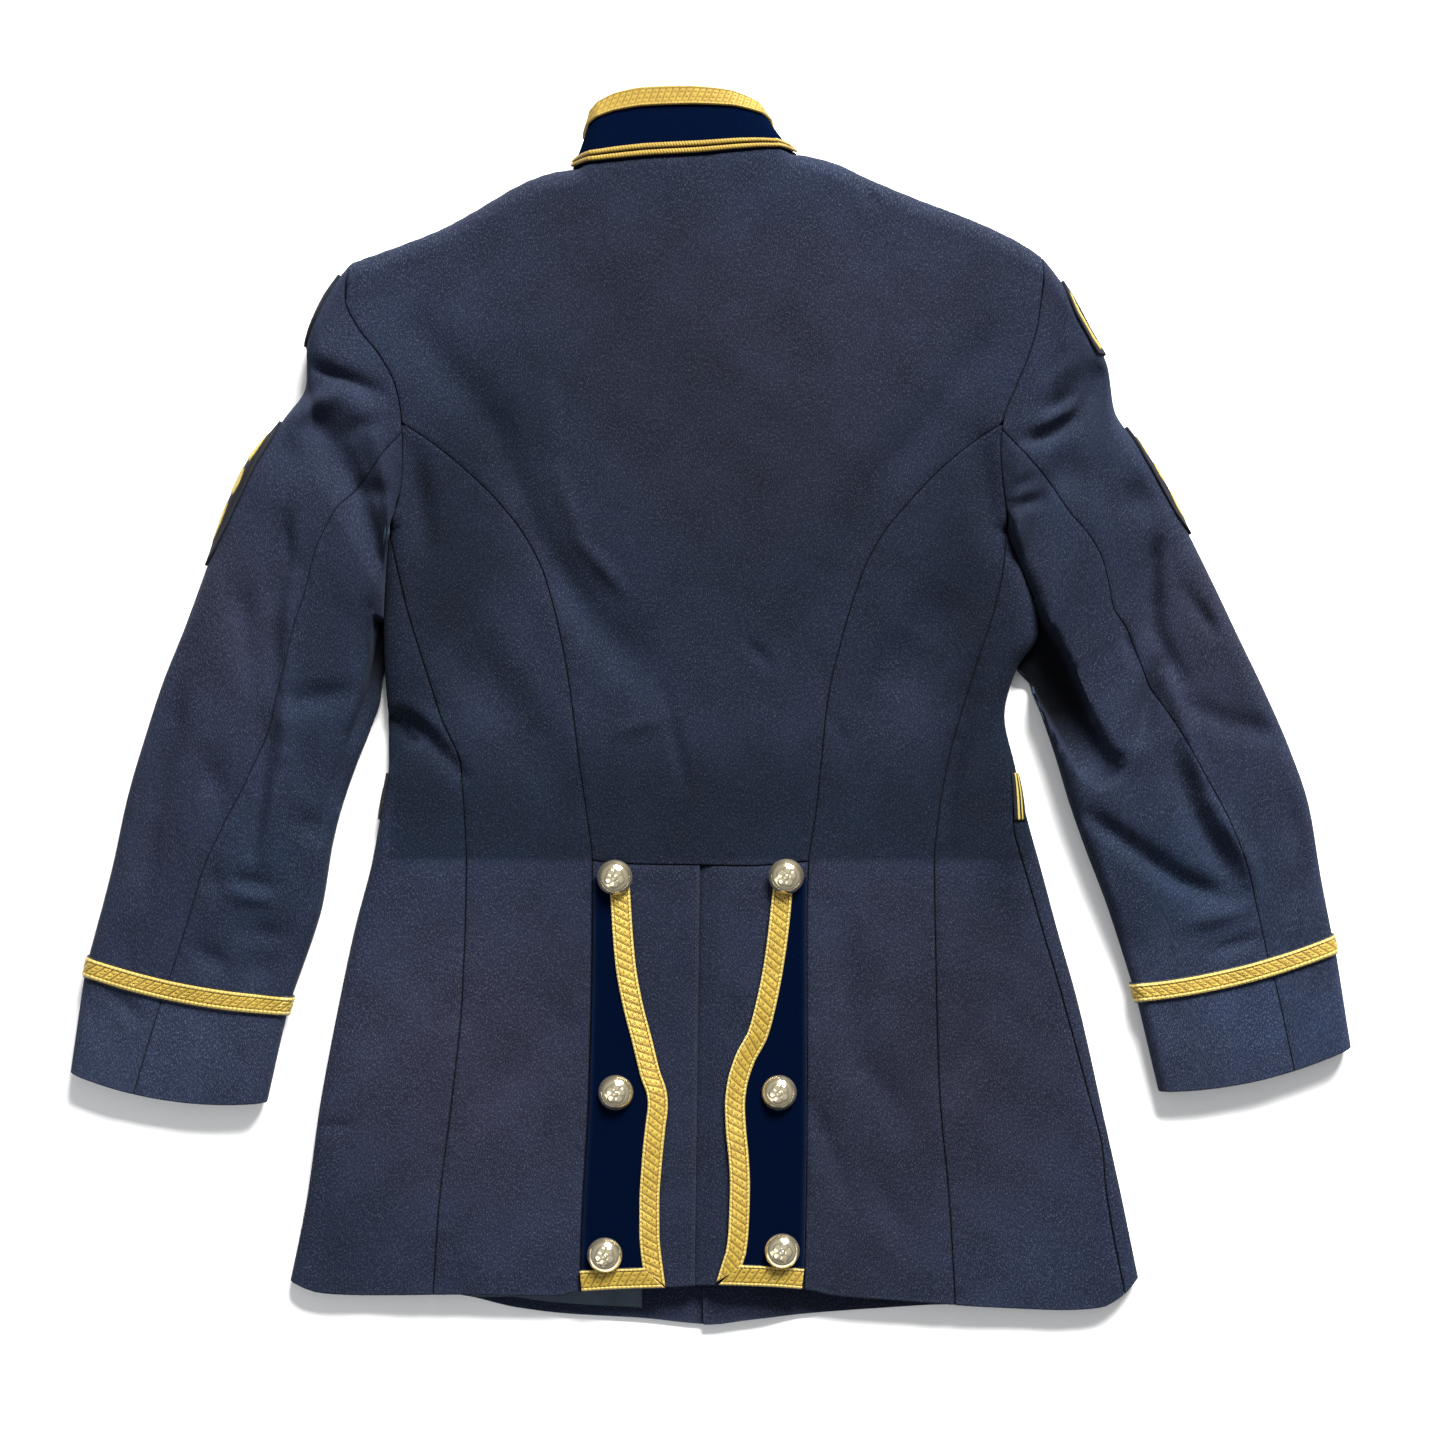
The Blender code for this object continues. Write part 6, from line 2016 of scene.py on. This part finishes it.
def make_wool():
    """Melange serge: dark ground, pale flecks that run with the warp, twill and nap."""
    s = Shader("wool")
    shade, tint, _, depth = s.paint()
    ground = s.mix(tint, WOOL_PURPLE, WOOL_TEAL)
    soft = s.ramp(s.noise(s.scaled(26.0, 26.0), detail=3.0), 0.3, 0.7, 0.82, 1.2)
    ground = s.mix(1.0, ground, s.grey(soft), "MULTIPLY")
    fleck = s.ramp(s.noise(s.scaled(1650.0, 760.0), detail=1.5, warp=0.6), 0.48, 0.70)
    fine = s.ramp(s.noise(s.scaled(2600.0, 1100.0), detail=1.0), 0.42, 0.62)
    twill = s.wave(s.scaled(760.0, 760.0, 0.9), 2.5)
    amount = s.math("MULTIPLY", fleck, s.ramp(fine, 0.0, 1.0, 0.5, 1.0))
    colour = s.mix(amount, ground, WOOL_FLECK)
    colour = s.cover(colour, WOOL_FLECK, s.wear(), 0.16)
    # painted light and shade from the depth, mixed with the cloth's own tone: darker where plus,
    # lighter where minus
    painted_light_and_tone = s.ramp(depth, 0.0, 1.0, 1.7, 0.45)
    colour = s.mix(1.0, colour, s.grey(painted_light_and_tone), "MULTIPLY")
    colour = s.cover(colour, WOOL_SHADE, shade, 0.96)
    body = s.math("ADD", s.math("MULTIPLY", twill, 0.35), s.math("MULTIPLY", fleck, 0.65))
    s.bump(body, 0.00022, 0.5)
    rough = s.ramp(fleck, 0.0, 1.0, 0.88, 0.78)
    return s.set(color=colour, rough=rough, sheen=0.03, sheen_rough=0.5,
                 sheen_tint=(0.50, 0.62, 0.90, 1.0), specular=0.08)


NAVY_GROUND = (0.0002, 0.0013, 0.0070)
NAVY_NAP = (0.0012, 0.0036, 0.0150)
NAVY_CLOUD = (0.0006, 0.0023, 0.0100)
NAVY_WORN = (0.008, 0.013, 0.032)
NAVY_SHADE = (0.0004, 0.0010, 0.0045)


def make_navy_cloth():
    """Fine facing cloth with a dense nap."""
    s = Shader("navy_cloth")
    shade, _, _, _ = s.paint()
    soft = s.noise(s.scaled(60.0, 60.0), detail=4.0)
    nap = s.noise(s.scaled(1700.0, 1300.0), detail=3.0)
    colour = s.mix(s.ramp(nap, 0.35, 0.72), NAVY_GROUND, NAVY_NAP)
    colour = s.mix(s.ramp(soft, 0.35, 0.75, 0.0, 0.45), colour, NAVY_CLOUD)
    colour = s.cover(colour, NAVY_WORN, s.wear(), 0.35)
    colour = s.cover(colour, NAVY_SHADE, shade, 0.6)
    s.bump(nap, 0.00022, 0.5)
    rough = s.ramp(soft, 0.2, 0.8, 0.82, 0.94)
    return s.set(color=colour, rough=rough, sheen=0.01, sheen_rough=0.5,
                 sheen_tint=(0.10, 0.40, 0.95, 1.0), specular=0.0)


GOLD_BRIGHT = (0.46, 0.325, 0.044)
GOLD_PALE = (0.60, 0.45, 0.12)
GOLD_SHADE_AND_THREAD_GAPS = (0.120, 0.066, 0.008)
GOLD_DULL = (0.39, 0.265, 0.034)
GOLD_WORN = (0.40, 0.29, 0.11)
BLACK_EDGE_COLOUR = (0.0012, 0.0014, 0.0024)


def make_gold_lace():
    """Gold-covered thread, brighter on the ridges and brown in the pits and grooves, where the
    brown is painted shade.
    """
    s = Shader("gold_lace")
    shade, _, gold, _ = s.paint()
    thread = s.wave(s.scaled(1500.0, 1500.0, 0.65), 1.2)
    patch = s.noise(s.scaled(90.0, 90.0), detail=3.0)
    bright = s.mix(s.ramp(patch, 0.3, 0.7), GOLD_BRIGHT, GOLD_DULL)
    bright = s.mix(s.ramp(gold, 1.0, 2.0), bright, GOLD_PALE)
    colour = s.mix(s.ramp(thread, 0.0, 1.0, 0.30, 0.0), bright, GOLD_SHADE_AND_THREAD_GAPS)
    # painted shade in the grooves, pits and dents
    colour = s.mix(s.ramp(shade, 0.12, 0.95), colour, GOLD_SHADE_AND_THREAD_GAPS)
    colour = s.cover(colour, GOLD_WORN, s.wear(), 0.18)
    colour = s.mix(s.ramp(gold, 0.0, 1.0), BLACK_EDGE_COLOUR, colour)
    s.bump(thread, 0.00014, 0.55)
    rough = s.ramp(shade, 0.0, 1.0, 0.40, 0.62)
    metal = s.ramp(gold, 0.0, 1.0, 0.0, 0.30)
    return s.set(color=colour, rough=rough, metal=metal, specular=0.5, anisotropic=0.3)


GILT_PALE = (0.95, 0.85, 0.61)
GILT_WARM = (0.89, 0.77, 0.50)
GILT_PATINA_AND_SHADE = (0.20, 0.13, 0.055)
GILT_RIM = (0.90, 0.84, 0.72)


def make_gilt():
    """Polished pale gilt, duller and browner in the recesses with patina, and towards the dome's
    rim with painted shade.
    """
    s = Shader("gilt")
    shade, _, _, _ = s.paint()
    smear = s.noise(s.scaled(260.0, 260.0), detail=4.0)
    scratch = s.noise(s.scaled(3200.0, 240.0), detail=2.0)
    colour = s.mix(s.ramp(smear, 0.3, 0.7), GILT_PALE, GILT_WARM)
    # browner with patina in the hollows and with painted shade towards the rim
    colour = s.mix(shade, colour, GILT_PATINA_AND_SHADE)
    colour = s.cover(colour, GILT_RIM, s.wear(), 0.4)
    s.bump(scratch, 0.00002, 0.15)
    rough = s.ramp(s.math("ADD", smear, s.math("MULTIPLY", shade, 0.5)), 0.3, 1.1, 0.09, 0.24)
    return s.set(color=colour, rough=rough, metal=0.94)


BADGE_BLACK = (0.0010, 0.0013, 0.0030)
BADGE_GREY = (0.0040, 0.0048, 0.0085)
BADGE_BROWN = (0.22, 0.150, 0.022)
BADGE_GOLD = (0.48, 0.385, 0.105)
BADGE_WORN = (0.020, 0.022, 0.032)


def make_badge_cloth():
    """Black badge cloth with satin-stitched gold."""
    s = Shader("badge_cloth")
    _, _, gold, _ = s.paint()
    weave = s.noise(s.scaled(1500.0, 1500.0), detail=2.0)
    satin = s.wave(s.scaled(320.0, 1150.0), 1.0, "Y")
    black = s.mix(s.ramp(weave, 0.3, 0.7), BADGE_BLACK, BADGE_GREY)
    black = s.cover(black, BADGE_WORN, s.wear(), 0.4)
    thread = s.mix(s.ramp(satin, 0.1, 0.9), BADGE_BROWN, BADGE_GOLD)
    colour = s.mix(gold, black, thread)
    s.bump(s.math("ADD", s.math("MULTIPLY", weave, 0.5), satin), 0.00016, 0.5)
    rough = s.ramp(gold, 0.0, 1.0, 0.85, 0.48)
    return s.set(color=colour, rough=rough, specular=0.12, sheen=0.02)


LINING_DARK = (0.0170, 0.0300, 0.0480)
LINING_LIGHT = (0.0310, 0.0500, 0.0760)
LINING_SHADE = (0.0020, 0.0045, 0.0080)
LINING_WORN = (0.020, 0.045, 0.052)


def make_lining():
    """Dark teal satin."""
    s = Shader("lining")
    shade, _, _, _ = s.paint()
    weave = s.wave(s.scaled(1300.0, 420.0), 3.0)
    cloudy = s.noise(s.scaled(70.0, 40.0), detail=3.0)
    colour = s.mix(s.ramp(cloudy, 0.3, 0.7), LINING_DARK, LINING_LIGHT)
    colour = s.cover(colour, LINING_SHADE, shade, 0.7)
    colour = s.cover(colour, LINING_WORN, s.wear(), 0.2)
    s.bump(weave, 0.00008, 0.4)
    rough = s.ramp(cloudy, 0.25, 0.75, 0.32, 0.46)
    return s.set(color=colour, rough=rough, specular=0.25, anisotropic=0.5)


THREAD_DARK = (0.0035, 0.0045, 0.0100)
THREAD_LIGHT = (0.0150, 0.0180, 0.0320)


def make_thread():
    s = Shader("thread")
    ply = s.wave(s.scaled(1800.0, 1800.0, 0.6), 0.5)
    colour = s.mix(s.ramp(ply, 0.0, 1.0), THREAD_DARK, THREAD_LIGHT)
    s.bump(ply, 0.00006, 0.5)
    rough = s.ramp(ply, 0.0, 1.0, 0.7, 0.55)
    return s.set(color=colour, rough=rough)


FLOOR_GREY = (0.905, 0.905, 0.905)
FLOOR_WHITE = (0.925, 0.925, 0.925)


def make_floor_material():
    s = Shader("floor")
    grain = s.noise(s.scaled(9.0, 9.0), detail=3.0)
    colour = s.mix(s.ramp(grain, 0.3, 0.7), FLOOR_GREY, FLOOR_WHITE)
    rough = s.ramp(grain, 0.3, 0.7, 0.90, 0.95)
    return s.set(color=colour, rough=rough, specular=0.1)


MATERIALS = {
    "wool": make_wool(),
    "navy_cloth": make_navy_cloth(),
    "gold_lace": make_gold_lace(),
    "gilt": make_gilt(),
    "badge_cloth": make_badge_cloth(),
    "lining": make_lining(),
    "thread": make_thread(),
}


# Floor, light and camera

FLOOR_HALF = 4.0
FLOOR_DROP = 0.0004
HORIZON_STRENGTH = 0.10
ZENITH_STRENGTH = 0.50
LIGHTS = {
    # place, size, power, colour
    "key": ((1.3, 3.9, 2.4), (2.4, 1.4), 1020.0, (1.0, 0.985, 0.96)),
    "fill": ((-1.5, -1.1, 1.9), (1.8, 1.8), 16.0, (0.95, 0.975, 1.0)),
}
SKY = (0.97, 0.985, 1.0, 1.0)
CAMERA_AT = (0.00751, -0.0093, 2.2)
CAMERA_LENS = 85.2
SENSOR_WIDTH = 36.0


def make_floor():
    mesh = bpy.data.meshes.new("floor")
    turns = ((-1, -1), (1, -1), (1, 1), (-1, 1))
    corners = [(x * FLOOR_HALF, y * FLOOR_HALF, -FLOOR_DROP) for x, y in turns]
    mesh.from_pydata(corners, [], [(0, 1, 2, 3)])
    layer = mesh.uv_layers.new(name="cut")
    for loop, corner in zip(layer.data, corners):
        loop.uv = corner[:2]
    mesh.materials.append(make_floor_material())
    floor = bpy.data.objects.new("floor", mesh)
    bpy.context.scene.collection.objects.link(floor)


def add_light(name, place, size, power, colour):
    """A soft box that looks at the jacket's middle."""
    data = bpy.data.lights.new(name, "AREA")
    data.shape = "RECTANGLE"
    data.size, data.size_y = size
    data.energy = power
    data.color = colour
    lamp = bpy.data.objects.new(name, data)
    lamp.location = place
    towards = -mathutils.Vector(place)
    lamp.rotation_euler = towards.to_track_quat("-Z", "Y").to_euler()
    bpy.context.scene.collection.objects.link(lamp)


def make_light():
    world = bpy.data.worlds.new("studio")
    world.use_nodes = True
    background = world.node_tree.nodes["Background"]
    background.inputs["Color"].default_value = SKY
    # brighter overhead than at the horizon, as under a large soft box
    tree = world.node_tree
    place = tree.nodes.new("ShaderNodeTexCoord")
    split = tree.nodes.new("ShaderNodeSeparateXYZ")
    ramp = tree.nodes.new("ShaderNodeMapRange")
    ramp.inputs["To Min"].default_value = HORIZON_STRENGTH
    ramp.inputs["To Max"].default_value = ZENITH_STRENGTH
    tree.links.new(place.outputs["Generated"], split.inputs["Vector"])
    tree.links.new(split.outputs["Z"], ramp.inputs["Value"])
    tree.links.new(ramp.outputs["Result"], background.inputs["Strength"])
    bpy.context.scene.world = world
    for name, values in LIGHTS.items():
        add_light(name, *values)


def make_camera():
    """A camera that looks straight down."""
    data = bpy.data.cameras.new("camera")
    data.sensor_width = SENSOR_WIDTH
    data.lens = CAMERA_LENS
    camera = bpy.data.objects.new("camera", data)
    camera.location = CAMERA_AT
    bpy.context.scene.collection.objects.link(camera)
    bpy.context.scene.camera = camera


def main():
    make_camera()
    make_fronts()
    make_side_bodies()
    make_back_sides()
    make_skirts()
    make_back_centre()
    make_sleeves()
    make_collar()
    make_lining_piece()
    make_flaps()
    make_tail_lace()
    make_buttons()
    make_cuff_lace()
    make_badges()
    make_belt_loops()
    make_vent_stitching()
    make_floor()
    make_light()
    bpy.context.scene.view_settings.view_transform = "Standard"
    bpy.context.view_layer.update()


main()
